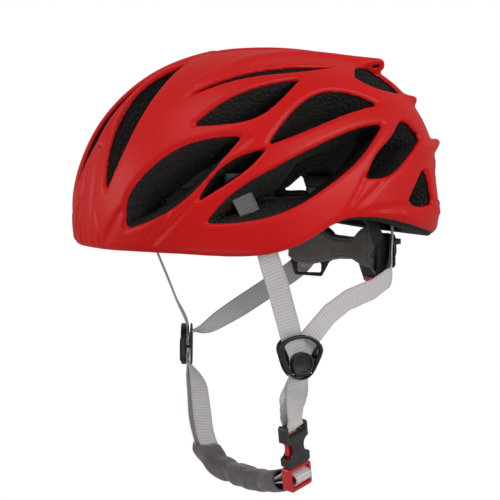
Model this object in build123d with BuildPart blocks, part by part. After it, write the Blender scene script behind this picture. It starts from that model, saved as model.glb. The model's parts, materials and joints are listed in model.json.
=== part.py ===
from build123d import *
import os
from math import atan2, cos, hypot, pi, radians, sin

# Cycling helmet. Millimetres, +Z up, front of the helmet towards -Y, wearer's left towards +X.
# The origin is the middle of the wearer's head at the height of the headband.

os.makedirs("parts", exist_ok=True)

# ---- dome ---------------------------------------------------------------------------------
HALF_WIDTH = 103.0      # half the width of the outer skin
ROUNDNESS = 2.25        # power of the superellipse across the head, 2 is round
MID = (5.0, 10.0)       # Y and Z that every section of the dome shrinks towards
PROFILE = [             # Y and Z of the skin in the middle plane, front to back and closed below
    (-128, -14), (-130, 5), (-128, 28), (-120, 52), (-107, 74), (-91, 91), (-64, 109), (-34, 119),
    (0, 122.5), (38, 121), (74, 113), (102, 96), (122, 70), (131, 40), (134, 12), (129, -14),
    (100, -70), (0, -100), (-100, -70),
]
SECTIONS = [0, 0.3, 0.55, 0.74, 0.87, 0.95, 0.99]
RIM = [                 # Y and Z of the lower edge, seen from the side
    (-150, -14), (-100, -13), (-30, -12), (-10, -4), (12, 7), (32, 8.5), (60, 4.5), (95, -4), (118, -9),
]
TAIL_TIP = (136, 13)
SKIN = 1.2
LINER_TOP = 1.4         # depth of the foam's outer face below the skin's
LINER_BOTTOM = 25.0     # depth of the foam's inner face
PAD_TOP = 26.4
PAD_BOTTOM = 31.5
DISC_TOP = 25.15
DISC_BOTTOM = 26.2

# ---- vents --------------------------------------------------------------------------------
# Each vent is a cone from the middle of the dome. Its outline lies on a plane VENT_PLANE away,
# square to (bearing from the front, elevation), as two edges from the front tip to the rear tip.
VENT_PLANE = 110.0
VENTS = {
    "brow_crescent": (9, 26, [(3, -38), (-6, -10), (-11, 16), (-10, 40), (-3, 69)],
                      [(8, -16), (9, 6), (6, 32)]),
    "front_almond": (36, 12, [(-34, -30), (-33, -14), (-22, 2), (-4, 18), (14, 27), (33, 33)],
                     [(-24, -27), (0, -14), (18, 8)]),
    "upper_front": (60, 42, [(-41, -20), (-20, -2), (4, 14), (28, 28)], [(0, -12), (17, 8)]),
    "middle_slit": (52, 15, [(-20, -18), (-9, 0), (5, 11), (20, 18)], [(-4, -7), (10, 5)]),
    "side_long": (82, 14, [(-88, -31), (-66, -12), (-30, 7), (20, 30), (50, 42), (72, 48)],
                  [(-52, -29), (-20, -21), (10, -5), (42, 18), (60, 36)]),
    "upper_rear": (94, 38, [(-54, -17), (-30, 2), (-8, 15), (10, 19), (30, 15), (44, 9)],
                   [(-22, -10), (14, 1)]),
    "rear_side": (122, 22, [(-32, -15), (-20, -2), (2, 10), (18, 18), (33, 6)], [(-14, -16), (16, -2)]),
    "rear_low": (134, 6, [(-16, -3), (8, 14), (15, -7)], [(-8, -7), (4, -8)]),
    "rear_high": (140, 46, [(-18, 10), (-6, 12), (5, 9), (3, -2)], [(-14, 0), (-8, -7)]),
    "ridge_slit": (88, 60, [(-96, -5), (-40, -1), (28, 4)], [(-44, -5), (0, -3)]),
    "crown_slot": (100, 82, [(-45, 15), (-10, 9), (20, 4), (50, -6)], [(-20, 2), (10, -6), (36, -10)]),
    "rear_upper_slot": (168, 32, [(8, 34), (-6, 26), (-13, 2), (-13, -20), (-3, -35)], [(10, 6), (10, -28)]),
    "rear_exhaust": (158, 6, [(-15, 19), (-19, 2), (-15, -11)], [(4, 10), (14, -2), (8, -12)]),
}

# ---- webbing and buckle -------------------------------------------------------------------
WEB_WIDTH = 15.0
WEB_THICK = 1.2
DIVIDER_LEFT = (85, -11.5, -85)
DIVIDER_RIGHT = (-85, -11.5, -95)
BUCKLE_MIDDLE = (53.9, 2.1, -153.1)
BUCKLE_UP = (0.207, -0.207, 0.957)
BUCKLE_FACE = (0.937, 0.321, -0.134)

# ---- rear cradle --------------------------------------------------------------------------
CRADLE_RADIUS = 70.0    # inside of the nape band, about BAND_MID_Y
BAND_MID_Y = 28.0
BAND_THICK = 2.0
DIAL_Z = -23.0
DIAL_RADIUS = 11.5
PITCH_RADIUS = 5.0
TEETH = 10
ADDENDUM = 0.65
DEDENDUM = 0.95
TOOTH_ROOT = 1.5
TOOTH_TIP = 0.7
WALL_Y = 97.4           # inside face of the gear housing
RACK_Y = 99.0
RACK_THICK = 2.4
COVER_Y = 101.8
COVER_THICK = 1.6
KNOB_Y = 103.8
KNOB_THICK = 7.2


def section_points(depth, across):
    """The profile at a share 'across' of the half width, depth below the skin."""
    shrink = (1 - across ** ROUNDNESS) ** (1 / ROUNDNESS)
    points = []
    for y, z in PROFILE:
        reach = hypot(y - MID[0], z - MID[1])
        scale = (reach - depth) / reach * shrink
        points.append((MID[0] + (y - MID[0]) * scale, MID[1] + (z - MID[1]) * scale))
    return points


def dome(depth):
    """The solid dome that lies depth below the outer skin."""
    steps = [-s for s in reversed(SECTIONS[1:])] + SECTIONS
    with BuildPart(mode=Mode.PRIVATE) as solid:
        for step in steps:
            with BuildSketch(Plane.YZ.offset(step * (HALF_WIDTH - depth))):
                with BuildLine():
                    Spline(section_points(depth, abs(step)), periodic=True)
                make_face()
        loft()
    return solid.part


def direction(bearing, elevation):
    """Unit vector out of the head: bearing 0 is the front and 90 the wearer's left."""
    b = radians(bearing)
    e = radians(elevation)
    return Vector(cos(e) * sin(b), -cos(e) * cos(b), sin(e))


def vent_cone(bearing, elevation, upper, lower):
    """A cone from the middle of the dome whose section is the vent's outline."""
    out = direction(bearing, elevation)
    middle = Vector(0, MID[0], MID[1])
    sideways = Vector(cos(radians(bearing)), sin(radians(bearing)), 0)
    with BuildPart(mode=Mode.PRIVATE) as cone:
        for reach in (55.0, 175.0):
            scale = reach / VENT_PLANE
            edge_up = [(u * scale, v * scale) for u, v in upper]
            edge_low = [(u * scale, v * scale) for u, v in lower]
            with BuildSketch(Plane(origin=middle + out * reach, x_dir=sideways, z_dir=out)):
                with BuildLine():
                    Spline(edge_up)
                    Spline([edge_up[0]] + edge_low + [edge_up[-1]])
                make_face()
        loft(ruled=True)
    return cone.part


def ribbon(stations, width, thickness):
    """Flat webbing through stations of (point, direction that its face looks in)."""
    points = [Vector(*point) for point, face in stations]
    with BuildPart(mode=Mode.PRIVATE) as web:
        for i, (point, face) in enumerate(stations):
            before = points[max(i - 1, 0)]
            after = points[min(i + 1, len(points) - 1)]
            along = (after - before).normalized()
            sideways = Vector(*face).cross(along).normalized()
            with BuildSketch(Plane(origin=points[i], x_dir=sideways, z_dir=along)):
                Rectangle(width, thickness)
        loft(ruled=True)
    return web.part


def in_plane(plane, x, y, z):
    """The point (x, y, z) of a plane as a plain tuple."""
    point = plane.from_local_coords(Vector(x, y, z))
    return (point.X, point.Y, point.Z)


def finish(part, name):
    """Name a finished piece and write it."""
    part.label = name
    export_step(part, "parts/" + name + ".step")


# ---- tools shared by the shell pieces -----------------------------------------------------
with BuildPart() as above_rim:
    with BuildSketch(Plane.YZ.offset(-HALF_WIDTH - 20)):
        with BuildLine():
            edge = Spline(RIM)
            Polyline(edge @ 1, TAIL_TIP, (160, 60), (160, 160), (-160, 160), edge @ 0)
        make_face()
    extrude(amount=2 * (HALF_WIDTH + 20))

vent_cones = [vent_cone(*vent) for vent in VENTS.values()]
vent_cones += [cone.mirror(Plane.YZ) for cone in vent_cones]

liner_inner = dome(LINER_BOTTOM)
inside_liner = dome(LINER_BOTTOM + 0.2)

# ---- webbing routes -----------------------------------------------------------------------
buckle_face = Vector(*BUCKLE_FACE)
buckle_up = Vector(*BUCKLE_UP)
buckle_plane = Plane(origin=BUCKLE_MIDDLE, x_dir=buckle_up.cross(buckle_face), z_dir=buckle_face)
divider_plane_left = Plane(origin=DIVIDER_LEFT, x_dir=(0, 1, 0), z_dir=(1, 0, 0))
divider_plane_right = Plane(origin=DIVIDER_RIGHT, x_dir=(0.883, -0.469, 0), z_dir=(-0.469, -0.883, 0))

LEFT = (1, 0, 0)
RIGHT = (-1, 0, 0)
FRONT_RIGHT = (-0.469, -0.883, 0)
FACE = BUCKLE_FACE
UP = BUCKLE_UP
DOWN = (-0.207, 0.207, -0.957)


def buckle_point(y, z):
    return in_plane(buckle_plane, 0, y, z)


slot_left = [
    ((84, -57, 28), LEFT), ((85.5, -50, 14), LEFT), ((86, -43, -2), LEFT),
    ((86, -37, -13), LEFT), ((85.7, -28, -38), LEFT),
]
slot_right = [
    ((-84, -57, 28), RIGHT), ((-85.5, -50, 14), (-1, -0.3, 0)), ((-86, -43, -2), (-0.7, -0.7, 0)),
    ((-86, -37, -13), FRONT_RIGHT), ((-85.7, -24, -54), FRONT_RIGHT),
]
route_left = slot_left + [
    (in_plane(divider_plane_left, -6.5, 15, 0), LEFT),
    (in_plane(divider_plane_left, -1, 2, 0), LEFT),
    (in_plane(divider_plane_left, 0.5, -13, 0), LEFT),
    ((81, -8, -112), (0.98, 0.1, -0.2)),
    ((71, -5, -123), (0.8, 0.2, -0.55)),
    (buckle_point(26, 4.2), FACE),
    (buckle_point(20, 2.35), FACE),
    (buckle_point(17, 2.35), FACE),
    (buckle_point(15.5, 1.5), (0.7, 0.7, -0.9)),
    (buckle_point(15.1, 0), (-0.2, 0.2, -0.96)),
    (buckle_point(15.5, -1.5), (-0.8, 0, -0.6)),
    (buckle_point(17, -2.35), (-0.937, -0.321, 0.134)),
    (buckle_point(20, -2.35), (-0.937, -0.321, 0.134)),
    ((61, -10, -126), (-0.85, -0.1, 0.5)),
    ((72, -15, -113), (-0.9, 0, 0.4)),
    ((81, -14, -104), (-0.98, 0, 0.2)),
    (in_plane(divider_plane_left, 0.5, -13, -1.45), RIGHT),
    (in_plane(divider_plane_left, 2, 1, -1.45), RIGHT),
    (in_plane(divider_plane_left, 9.5, 13, -1.45), RIGHT),
    ((80.5, 14, -58), (-0.9, -0.2, 0)),
    ((74, 32, -50), (-0.77, -0.4, 0)),
    ((70.3, 55.2, -43.5), (-0.76, -0.65, 0)),
    ((62.8, 73.2, -37), (-0.66, -0.75, 0)),
    ((56.5, 79, -24), (-0.74, -0.67, 0)),
    ((53.7, 81.7, -8), (-0.71, -0.71, 0)),
    ((53.7, 81.7, 20), (-0.71, -0.71, 0)),
]
pad_outer = [
    (-56, -10, -170.5), (-44, -7, -179), (-25, -4, -183.3), (0, -1, -184), (26, 2, -181.6), (38, 3, -178.3),
]
pad_inner = [
    (38, 2, -175.3), (26, 1, -178.8), (0, -1, -181.2), (-25, -4, -180.5), (-44, -7, -176), (-56, -8, -166.5),
]
route_right = slot_right + [
    (in_plane(divider_plane_right, 0, 15, 0), FRONT_RIGHT),
    (in_plane(divider_plane_right, 0, 0, 0), FRONT_RIGHT),
    (in_plane(divider_plane_right, 0, -14, 0), FRONT_RIGHT),
    ((-85, -11, -121), (-0.8, -0.6, 0)),
    ((-82, -11, -136), (-0.95, -0.1, -0.2)),
    ((-74, -12, -151), (-0.85, 0.1, -0.5)),
    ((-63, -11.5, -164), (-0.75, 0.1, -0.7)),
]
route_right += [(point, (0, 0, -1)) for point in pad_outer]
route_right += [
    (buckle_point(-24.1, -6.5), DOWN),
    (buckle_point(-24.3, -3), DOWN),
    (buckle_point(-24.3, 0.3), DOWN),
    (buckle_point(-23.4, 2.2), (0.5, 0.4, -0.77)),
    (buckle_point(-21.6, 2.8), FACE),
    (buckle_point(-18.4, 2.8), FACE),
    (buckle_point(-16.6, 2.2), (0.8, 0.1, 0.58)),
    (buckle_point(-15.7, 0.3), UP),
    (buckle_point(-15.7, -3), UP),
    (buckle_point(-16.4, -6.5), UP),
]
route_right += [(point, (0, 0, 1)) for point in pad_inner]
route_right += [
    ((-60.5, -8.5, -160), (0.8, -0.2, 0.6)),
    ((-69, -6.8, -146), (0.85, -0.4, 0.3)),
    ((-77, -4, -129), (0.85, -0.45, 0.1)),
    ((-82.5, -5.5, -117), (0.75, 0.6, 0)),
    (in_plane(divider_plane_right, 0, -14, -1.45), (0.469, 0.883, 0)),
    (in_plane(divider_plane_right, 0, 0, -1.45), (0.469, 0.883, 0)),
    (in_plane(divider_plane_right, 1.5, 13, -1.45), (0.469, 0.883, 0)),
    ((-84, 0, -76), (0.8, 0.5, 0)),
    ((-82.5, 13, -73), (0.95, 0.05, 0)),
    ((-79, 30, -65), (0.9, -0.4, 0)),
    ((-73, 48, -55.5), (0.88, -0.47, 0)),
    ((-66.5, 63, -45), (0.85, -0.52, 0)),
    ((-61.5, 72, -37), (0.7, -0.72, 0)),
    ((-56.5, 79, -24), (0.74, -0.67, 0)),
    ((-53.7, 81.7, -8), (0.71, -0.71, 0)),
    ((-53.7, 81.7, 20), (0.71, -0.71, 0)),
]

# ---- outer shell and foam liner -----------------------------------------------------------
with BuildPart() as outer_shell:
    add(dome(0))
    add(dome(SKIN), mode=Mode.SUBTRACT)
    add(above_rim.part, mode=Mode.INTERSECT)
    add(vent_cones, mode=Mode.SUBTRACT)
finish(outer_shell.part, "outer_shell")

ANCHORS = ((83, -58.5, 35.6), (-83, -58.5, 35.6))
with BuildPart() as eps_liner:
    add(dome(LINER_TOP))
    add(liner_inner, mode=Mode.SUBTRACT)
    add(above_rim.part, mode=Mode.INTERSECT)
    add(vent_cones, mode=Mode.SUBTRACT)
    add([ribbon(slot_left, 17.5, 3.4), ribbon(slot_right, 17.5, 3.4)], mode=Mode.SUBTRACT)
    with Locations(*ANCHORS):
        Box(5.8, 16.8, 8.4, mode=Mode.SUBTRACT)
finish(eps_liner.part, "eps_liner")

# ---- comfort pads and the discs that hold them --------------------------------------------
pad_zone = dome(PAD_TOP) - dome(PAD_BOTTOM)
disc_zone = dome(DISC_TOP) - dome(DISC_BOTTOM)


def soft_pad(name, plane, width, height, corner):
    """A pad with a rounded outline on the plane, as thick as the space inside the liner."""
    with BuildPart() as pad:
        with BuildSketch(plane):
            RectangleRounded(width, height, corner)
        extrude(amount=200)
        add(pad_zone, mode=Mode.INTERSECT)
    finish(pad.part, name)


brow_plane = Plane(origin=(0, -30, 2), x_dir=(1, 0, 0), z_dir=(0, -1, 0))
crown_plane = Plane(origin=(0, 8, 30), x_dir=(0, 1, 0), z_dir=(0, 0, 1))
soft_pad("brow_pad", brow_plane, 104, 20, 8)
soft_pad("crown_pad_center", crown_plane, 112, 17, 8)
for side, name in ((1, "left"), (-1, "right")):
    lean = Plane(origin=(0, 8, 30), x_dir=(0, 1, 0), z_dir=(0.64 * side, 0, 0.77))
    soft_pad("crown_pad_" + name, lean.offset(30), 84, 15, 7)
    temple = Plane(origin=(30 * side, -14, 14), x_dir=(0, 1, 0), z_dir=(side, 0, 0))
    soft_pad("temple_pad_" + name, temple, 42, 17, 7)

disc_lines = [direction(b, 2) for b in (-30, -10, 10, 30)]
disc_lines += [direction(0, 60), direction(180, 66), direction(0, 84)]
disc_lines += [direction(side * b, 52) for side in (1, -1) for b in (62, 116)]
disc_lines += [direction(side * b, 4) for side in (1, -1) for b in (72, 86)]
discs = []
for line in disc_lines:
    with BuildPart(mode=Mode.PRIVATE) as disc:
        with BuildSketch(Plane(origin=Vector(0, *MID) + line * 40, z_dir=line)):
            Circle(6)
        extrude(amount=90)
        add(disc_zone, mode=Mode.INTERSECT)
    discs += disc.part.solids()
with BuildPart() as hook_discs:
    add(discs)
finish(hook_discs.part, "hook_discs")

# ---- strap anchors and height rail --------------------------------------------------------
rear_anchors = []
for side in (1, -1):
    outward = Vector(0.707 * side, 0.707, 0)
    with BuildPart(mode=Mode.PRIVATE) as anchor:
        inner_face = Plane(origin=(52.9 * side, 80.9, 24.6), x_dir=(0.707, -0.707 * side, 0), z_dir=outward)
        with BuildSketch(inner_face):
            RectangleRounded(18, 8, 2)
        extrude(amount=16)
        add(inside_liner, mode=Mode.INTERSECT)
    rear_anchors += anchor.part.solids()
with BuildPart() as strap_anchors:
    with Locations(*ANCHORS):
        Box(5.0, 16.0, 7.0)
    add(rear_anchors)
finish(strap_anchors.part, "strap_anchors")

RAIL_Y = 99.8
with BuildPart() as height_rail:
    with BuildSketch(Plane.XZ.offset(-RAIL_Y)):
        with Locations((0, 18)):
            RectangleRounded(17, 33, 3)
    extrude(amount=-12)
    add(inside_liner, mode=Mode.INTERSECT)
    with Locations((0, RAIL_Y + 1.9, 12)):
        Box(8.6, 3.8, 38, mode=Mode.SUBTRACT)
finish(height_rail.part, "height_rail")

# ---- webbing ------------------------------------------------------------------------------
with BuildPart() as webbing_left:
    add(ribbon(route_left, WEB_WIDTH, WEB_THICK))
finish(webbing_left.part, "webbing_left")

with BuildPart() as webbing_right:
    add(ribbon(route_right, WEB_WIDTH, WEB_THICK))
finish(webbing_right.part, "webbing_right")

# ---- strap dividers -----------------------------------------------------------------------
DIVIDER_OUTLINE = [
    (0, 14.5), (-11, 11.5), (-15.8, 5.5), (-12.5, -4.5), (-7, -12.3), (0, -14.8),
    (7, -12.3), (12.5, -4.5), (15.8, 5.5), (11, 11.5),
]
BUTTON_RADIUS = 8.2
BUTTON_Y = -4.4
HINGE_Y = -10.8
HINGE_Z = 3.4


def scaled(points, scale):
    """The points of an outline, drawn in towards its middle."""
    return [(x * scale, y * scale) for x, y in points]


def across(plane, x, y, z):
    """A plane at (x, y, z) of another plane, looking along its X."""
    return Plane(origin=in_plane(plane, x, y, z), x_dir=plane.y_dir, z_dir=plane.x_dir)


for name, plane in (("left", divider_plane_left), ("right", divider_plane_right)):
    with BuildPart() as divider_frame:
        with BuildSketch(plane.offset(-3.8)):
            with BuildLine():
                Spline(DIVIDER_OUTLINE, periodic=True)
            make_face()
        extrude(amount=1.4)
        with BuildSketch(plane.offset(-2.4)):
            with Locations((-12.2, -1.4), (12.2, -1.4)):
                Circle(1.9)
        extrude(amount=3.6)
        with BuildSketch(plane.offset(1.0)):
            with BuildLine():
                Spline(DIVIDER_OUTLINE, periodic=True)
            make_face()
            with BuildLine():
                Spline(scaled(DIVIDER_OUTLINE, 0.79), periodic=True)
            make_face(mode=Mode.SUBTRACT)
            with Locations((0, BUTTON_Y)):
                Circle(BUTTON_RADIUS + 0.4, mode=Mode.SUBTRACT)
            with Locations((0, HINGE_Y - 2.6)):
                Rectangle(12.2, 10, mode=Mode.SUBTRACT)
            with Locations((-8.0, HINGE_Y + 0.1), (8.0, HINGE_Y + 0.1)):
                Rectangle(1.8, 2.8)
        extrude(amount=3.4)
        with BuildSketch(across(plane, -9.2, HINGE_Y, HINGE_Z)):
            Circle(0.75)
        extrude(amount=18.4, mode=Mode.SUBTRACT)
    finish(divider_frame.part, "divider_frame_" + name)

    with BuildPart() as divider_lever:
        with BuildSketch(plane.offset(1.3)):
            with Locations((0, BUTTON_Y)):
                Circle(BUTTON_RADIUS)
            with Locations((0, HINGE_Y - 5)):
                Rectangle(30, 10, mode=Mode.SUBTRACT)
        extrude(amount=4.1)
        with BuildSketch(plane.offset(4.6)):
            with Locations((0, BUTTON_Y + 0.6)):
                Circle(6.6)
        extrude(amount=0.8, mode=Mode.SUBTRACT)
        with BuildSketch(across(plane, -5.6, HINGE_Y, HINGE_Z)):
            Circle(2.1)
        extrude(amount=11.2)
        with BuildSketch(across(plane, -6.5, HINGE_Y, HINGE_Z)):
            Circle(0.75)
        extrude(amount=13.0, mode=Mode.SUBTRACT)
    finish(divider_lever.part, "divider_lever_" + name)

    with BuildPart() as divider_pin:
        with BuildSketch(across(plane, -8.4, HINGE_Y, HINGE_Z)):
            Circle(0.7)
        extrude(amount=16.8)
    finish(divider_pin.part, "divider_pin_" + name)

# ---- side-release buckle ------------------------------------------------------------------
SOCKET_HALF = 10.5
SOCKET_THICK = 8.0
WINDOW_Y = 2.0
PRONG_X = 5.6
PRONG_Y = -9.4

with BuildPart() as buckle_socket:
    with BuildSketch(buckle_plane.offset(-SOCKET_THICK / 2)):
        with Locations((0, 4.5)):
            RectangleRounded(2 * SOCKET_HALF, 31, 2.5)
        with Locations((SOCKET_HALF + 1, WINDOW_Y), (-SOCKET_HALF - 1, WINDOW_Y)):
            Circle(6.2, mode=Mode.SUBTRACT)
        with Locations((0, 14.3)):
            RectangleRounded(16.6, 4.6, 1.2, mode=Mode.SUBTRACT)
    extrude(amount=SOCKET_THICK)
    with BuildSketch(buckle_plane.offset(-2.7)):
        with Locations((0, -0.6)):
            Rectangle(17.6, 21.2)
    extrude(amount=5.4, mode=Mode.SUBTRACT)
    for low in (1.6, -5.6):
        with BuildSketch(buckle_plane.offset(low)):
            with Locations((0, 18.5)):
                Rectangle(16.6, 4.0)
        extrude(amount=4, mode=Mode.SUBTRACT)
finish(buckle_socket.part, "buckle_socket")

with BuildPart() as buckle_plug:
    with BuildSketch(buckle_plane.offset(-SOCKET_THICK / 2)):
        with Locations((0, -20.2)):
            RectangleRounded(2 * SOCKET_HALF, 17.2, 2.0)
        with Locations((0, -20.0)):
            RectangleRounded(17.0, 13.2, 1.2, mode=Mode.SUBTRACT)
    extrude(amount=SOCKET_THICK)
    with BuildSketch(across(buckle_plane, -9, -20, 0)):
        RectangleRounded(6.6, 3.8, 1.8)
    extrude(amount=18)
    with BuildSketch(buckle_plane.offset(-1.6)):
        with Locations((0, -1.8)):
            RectangleRounded(4.4, 20, 1.0)
    extrude(amount=3.2)
    for low in (-2.4, 1.5):
        with BuildSketch(buckle_plane.offset(low)):
            with Locations((0, -9.8)):
                Rectangle(16.0, 4.2)
        extrude(amount=0.9)
    with BuildSketch(buckle_plane.offset(-2.4)):
        with Locations((PRONG_X, PRONG_Y), (-PRONG_X, PRONG_Y)):
            Circle(0.6)
    extrude(amount=4.8)
finish(buckle_plug.part, "buckle_plug")

for name, side in (("rear", 1), ("front", -1)):
    with BuildPart() as buckle_prong:
        with BuildSketch(buckle_plane.offset(-1.3)):
            with BuildLine():
                Polyline(
                    (4.4 * side, -9), (6.9 * side, -9), (7.3 * side, -3), (8.3 * side, -1.5), (8.3 * side, 5),
                    (7.2 * side, 8), (5.4 * side, 8), (4.6 * side, 4), (4.4 * side, -9),
                )
            make_face()
            with Locations((PRONG_X * side, PRONG_Y)):
                Circle(1.6)
                Circle(0.65, mode=Mode.SUBTRACT)
        extrude(amount=2.6)
    finish(buckle_prong.part, "buckle_prong_" + name)

# ---- chin pad -----------------------------------------------------------------------------
PAD_LINE = [
    (-59, -9.6, -168), (-45, -7.5, -177.5), (-25, -4, -181.9),
    (0, -1, -182.6), (26, 2, -180.2), (36.5, 2.6, -177.6),
]
SLEEVE_LINE = [(-64, -10.8, -161)] + PAD_LINE + [(42, 3, -176)]
with BuildPart() as chin_pad:
    for i, point in enumerate(PAD_LINE):
        ahead = Vector(*PAD_LINE[min(i + 1, len(PAD_LINE) - 1)]) - Vector(*PAD_LINE[max(i - 1, 0)])
        with BuildSketch(Plane(origin=point, x_dir=Vector(0, 0, 1).cross(ahead), z_dir=ahead)):
            Ellipse(10.5, 8.8)
    loft()
    add(ribbon([(point, (0, 0, 1)) for point in SLEEVE_LINE], 16.4, 5.8), mode=Mode.SUBTRACT)
finish(chin_pad.part, "chin_pad")

# ---- rear cradle: frame, housing, cover ---------------------------------------------------
dial_plane = Plane(origin=(0, 0, DIAL_Z), x_dir=(-1, 0, 0), z_dir=(0, 1, 0))
BAR_ROOT = PITCH_RADIUS + DEDENDUM
BAR_BACK = 9.6
SCREW_X = 14.6
SCREW_PLACES = Locations((SCREW_X, 0), (-SCREW_X, 0))

with BuildPart() as cradle_frame:
    with BuildSketch(dial_plane.offset(WALL_Y)):
        with BuildLine():
            Polyline((-21, 12), (21, 12), (21, -12), (13, -24), (-13, -24), (-21, -12), (-21, 12))
        make_face()
        fillet(vertices(), 3)
        Circle(1.86, mode=Mode.SUBTRACT)
    extrude(amount=RACK_Y - 0.2 - WALL_Y)
    with BuildSketch(dial_plane.offset(RACK_Y - 0.2)):
        Rectangle(42, 24)
        Rectangle(44, 2 * BAR_BACK + 0.5, mode=Mode.SUBTRACT)
        with SCREW_PLACES:
            Circle(2.4)
    extrude(amount=COVER_Y - RACK_Y + 0.2)
    with BuildSketch(dial_plane.offset(RACK_Y)):
        with SCREW_PLACES:
            Circle(0.95)
    extrude(amount=COVER_Y - RACK_Y, mode=Mode.SUBTRACT)
    with Locations((0, WALL_Y + 0.9, 10)):
        Box(7.8, 1.8, 42)
    with Locations((0, 101, 18)):
        Box(7.8, 4.4, 24)
finish(cradle_frame.part, "cradle_frame")

with BuildPart() as housing_cover:
    with BuildSketch(dial_plane.offset(COVER_Y)):
        RectangleRounded(42, 24, 3)
        Circle(3.26, mode=Mode.SUBTRACT)
        with SCREW_PLACES:
            Circle(0.95, mode=Mode.SUBTRACT)
    extrude(amount=COVER_THICK)
finish(housing_cover.part, "housing_cover")

with BuildPart() as housing_screws:
    with BuildSketch(dial_plane.offset(COVER_Y + COVER_THICK)):
        with SCREW_PLACES:
            Circle(1.9)
    extrude(amount=1.0)
    with BuildSketch(dial_plane.offset(RACK_Y + 0.3)):
        with SCREW_PLACES:
            Circle(0.9)
    extrude(amount=COVER_Y + COVER_THICK - RACK_Y - 0.3)
finish(housing_screws.part, "housing_screws")

with BuildPart() as nape_pad:
    with BuildSketch(Plane.XY.offset(-42)):
        with Locations((0, BAND_MID_Y)):
            Circle(CRADLE_RADIUS - 1.0)
            Circle(CRADLE_RADIUS - 6.5, mode=Mode.SUBTRACT)
        with Locations((0, BAND_MID_Y + 60)):
            Rectangle(40, 40, mode=Mode.INTERSECT)
    extrude(amount=36)
finish(nape_pad.part, "nape_pad")

with BuildPart() as cradle_insert:
    with BuildSketch(dial_plane.offset(WALL_Y - 1.5)):
        with Locations((0, -21.8)):
            SlotOverall(24, 3.2)
    extrude(amount=1.5)
finish(cradle_insert.part, "cradle_insert")

# ---- arms with racks ----------------------------------------------------------------------
WING_ANGLE = 48.0
WING_OUTLINE = [        # across the band towards the centre of the nape, and up from the dial's height
    (18.5, 9.6), (12, 15), (-2, 13), (-14, 17), (-15, 2),
    (-15, -12), (-12, -22), (8, -23), (14, -12), (18.5, -9.6),
]
TEMPLE_STRIP = [(60.8, 64.8, -12), (64.5, 56, 4), (67, 44, 15), (69, 28, 21), (69.5, 10, 23)]
LINK_PLAN = [(29, 99), (29, 101.4), (31.2, 101.4), (41.2, 88), (39.6, 86.8), (30.4, 99)]
TIP_LEVEL = PITCH_RADIUS - ADDENDUM
tooth_pitch = 2 * pi * PITCH_RADIUS / TEETH


def tooth(middle, root, tip):
    """The corners of one trapezoid tooth of the rack."""
    wide = TOOTH_ROOT / 2
    narrow = TOOTH_TIP / 2
    corners = [(middle - wide, root), (middle + wide, root), (middle + narrow, tip), (middle - narrow, tip)]
    return corners + corners[:1]


def wing(side):
    """The padded part of an arm, a piece of the nape band with a loop under it for the strap."""
    angle = radians(WING_ANGLE)
    outward = Vector(sin(angle) * side, cos(angle), 0)
    inward = Vector(-cos(angle) * side, sin(angle), 0)
    middle = Vector(0, BAND_MID_Y, DIAL_Z)
    with BuildPart(mode=Mode.PRIVATE) as band:
        start = middle + outward * (CRADLE_RADIUS - 4)
        with BuildSketch(Plane(origin=start, x_dir=inward * side, z_dir=outward)):
            with BuildLine():
                Polyline([(x * side, y) for x, y in WING_OUTLINE + WING_OUTLINE[:1]])
            make_face()
            fillet(vertices(), 1.8)
            with Locations((-1.5 * side, -16.3)):
                RectangleRounded(18.5, 7.6, 2, mode=Mode.SUBTRACT)
        extrude(amount=20)
        with BuildSketch(Plane.XY.offset(DIAL_Z - 30)):
            with Locations((0, BAND_MID_Y)):
                Circle(CRADLE_RADIUS + BAND_THICK)
                Circle(CRADLE_RADIUS, mode=Mode.SUBTRACT)
        extrude(amount=60, mode=Mode.INTERSECT)
    return band.part


for name, side, level in (("left", 1, 1), ("right", -1, -1)):
    bar_middle = level * (BAR_ROOT + BAR_BACK) / 2
    bar_low = DIAL_Z + bar_middle - (BAR_BACK - BAR_ROOT) / 2
    with BuildPart() as arm:
        add(wing(side))
        with BuildSketch(dial_plane.offset(RACK_Y)):
            with Locations((-9.5 * side, bar_middle)):
                Rectangle(43, BAR_BACK - BAR_ROOT)
            for i in range(-2, 5):
                tooth_middle = -side * (i + 0.5) * tooth_pitch
                with BuildLine():
                    Polyline(tooth(tooth_middle, level * (BAR_ROOT + 0.2), level * TIP_LEVEL))
                make_face()
        extrude(amount=RACK_THICK)
        with BuildSketch(Plane.XY.offset(bar_low)):
            with BuildLine():
                Polyline([(x * side, y) for x, y in LINK_PLAN + LINK_PLAN[:1]])
            make_face()
        extrude(amount=BAR_BACK - BAR_ROOT)
        add(ribbon([((x * side, y, z), (side, 0.3, 0)) for x, y, z in TEMPLE_STRIP], 10, 1.8))
    finish(arm.part, "arm_" + name)

    with BuildPart() as arm_pad:
        with BuildSketch(Plane.XY.offset(DIAL_Z - 11)):
            with Locations((0, BAND_MID_Y)):
                Circle(CRADLE_RADIUS - 0.3)
                Circle(CRADLE_RADIUS - 6.2, mode=Mode.SUBTRACT)
            with Locations((46.6 * side, 76)):
                Rectangle(24.8, 44, mode=Mode.INTERSECT)
        extrude(amount=25)
    finish(arm_pad.part, "arm_pad_" + name)

# ---- dial ---------------------------------------------------------------------------------
HEX_RADIUS = 3.0
GEAR_ROOT = PITCH_RADIUS - DEDENDUM + 0.05


def gear_tooth(degrees):
    """The corners of one trapezoid tooth of the pinion, rooted inside its core."""
    wide = TOOTH_ROOT / 2
    narrow = TOOTH_TIP / 2
    reach = PITCH_RADIUS + ADDENDUM
    corners = [(3.5, -wide), (GEAR_ROOT, -wide), (reach, -narrow)]
    corners += [(reach, narrow), (GEAR_ROOT, wide), (3.5, wide)]
    turn = radians(degrees)
    turned = [(x * cos(turn) - y * sin(turn), x * sin(turn) + y * cos(turn)) for x, y in corners]
    return turned + turned[:1]


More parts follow.
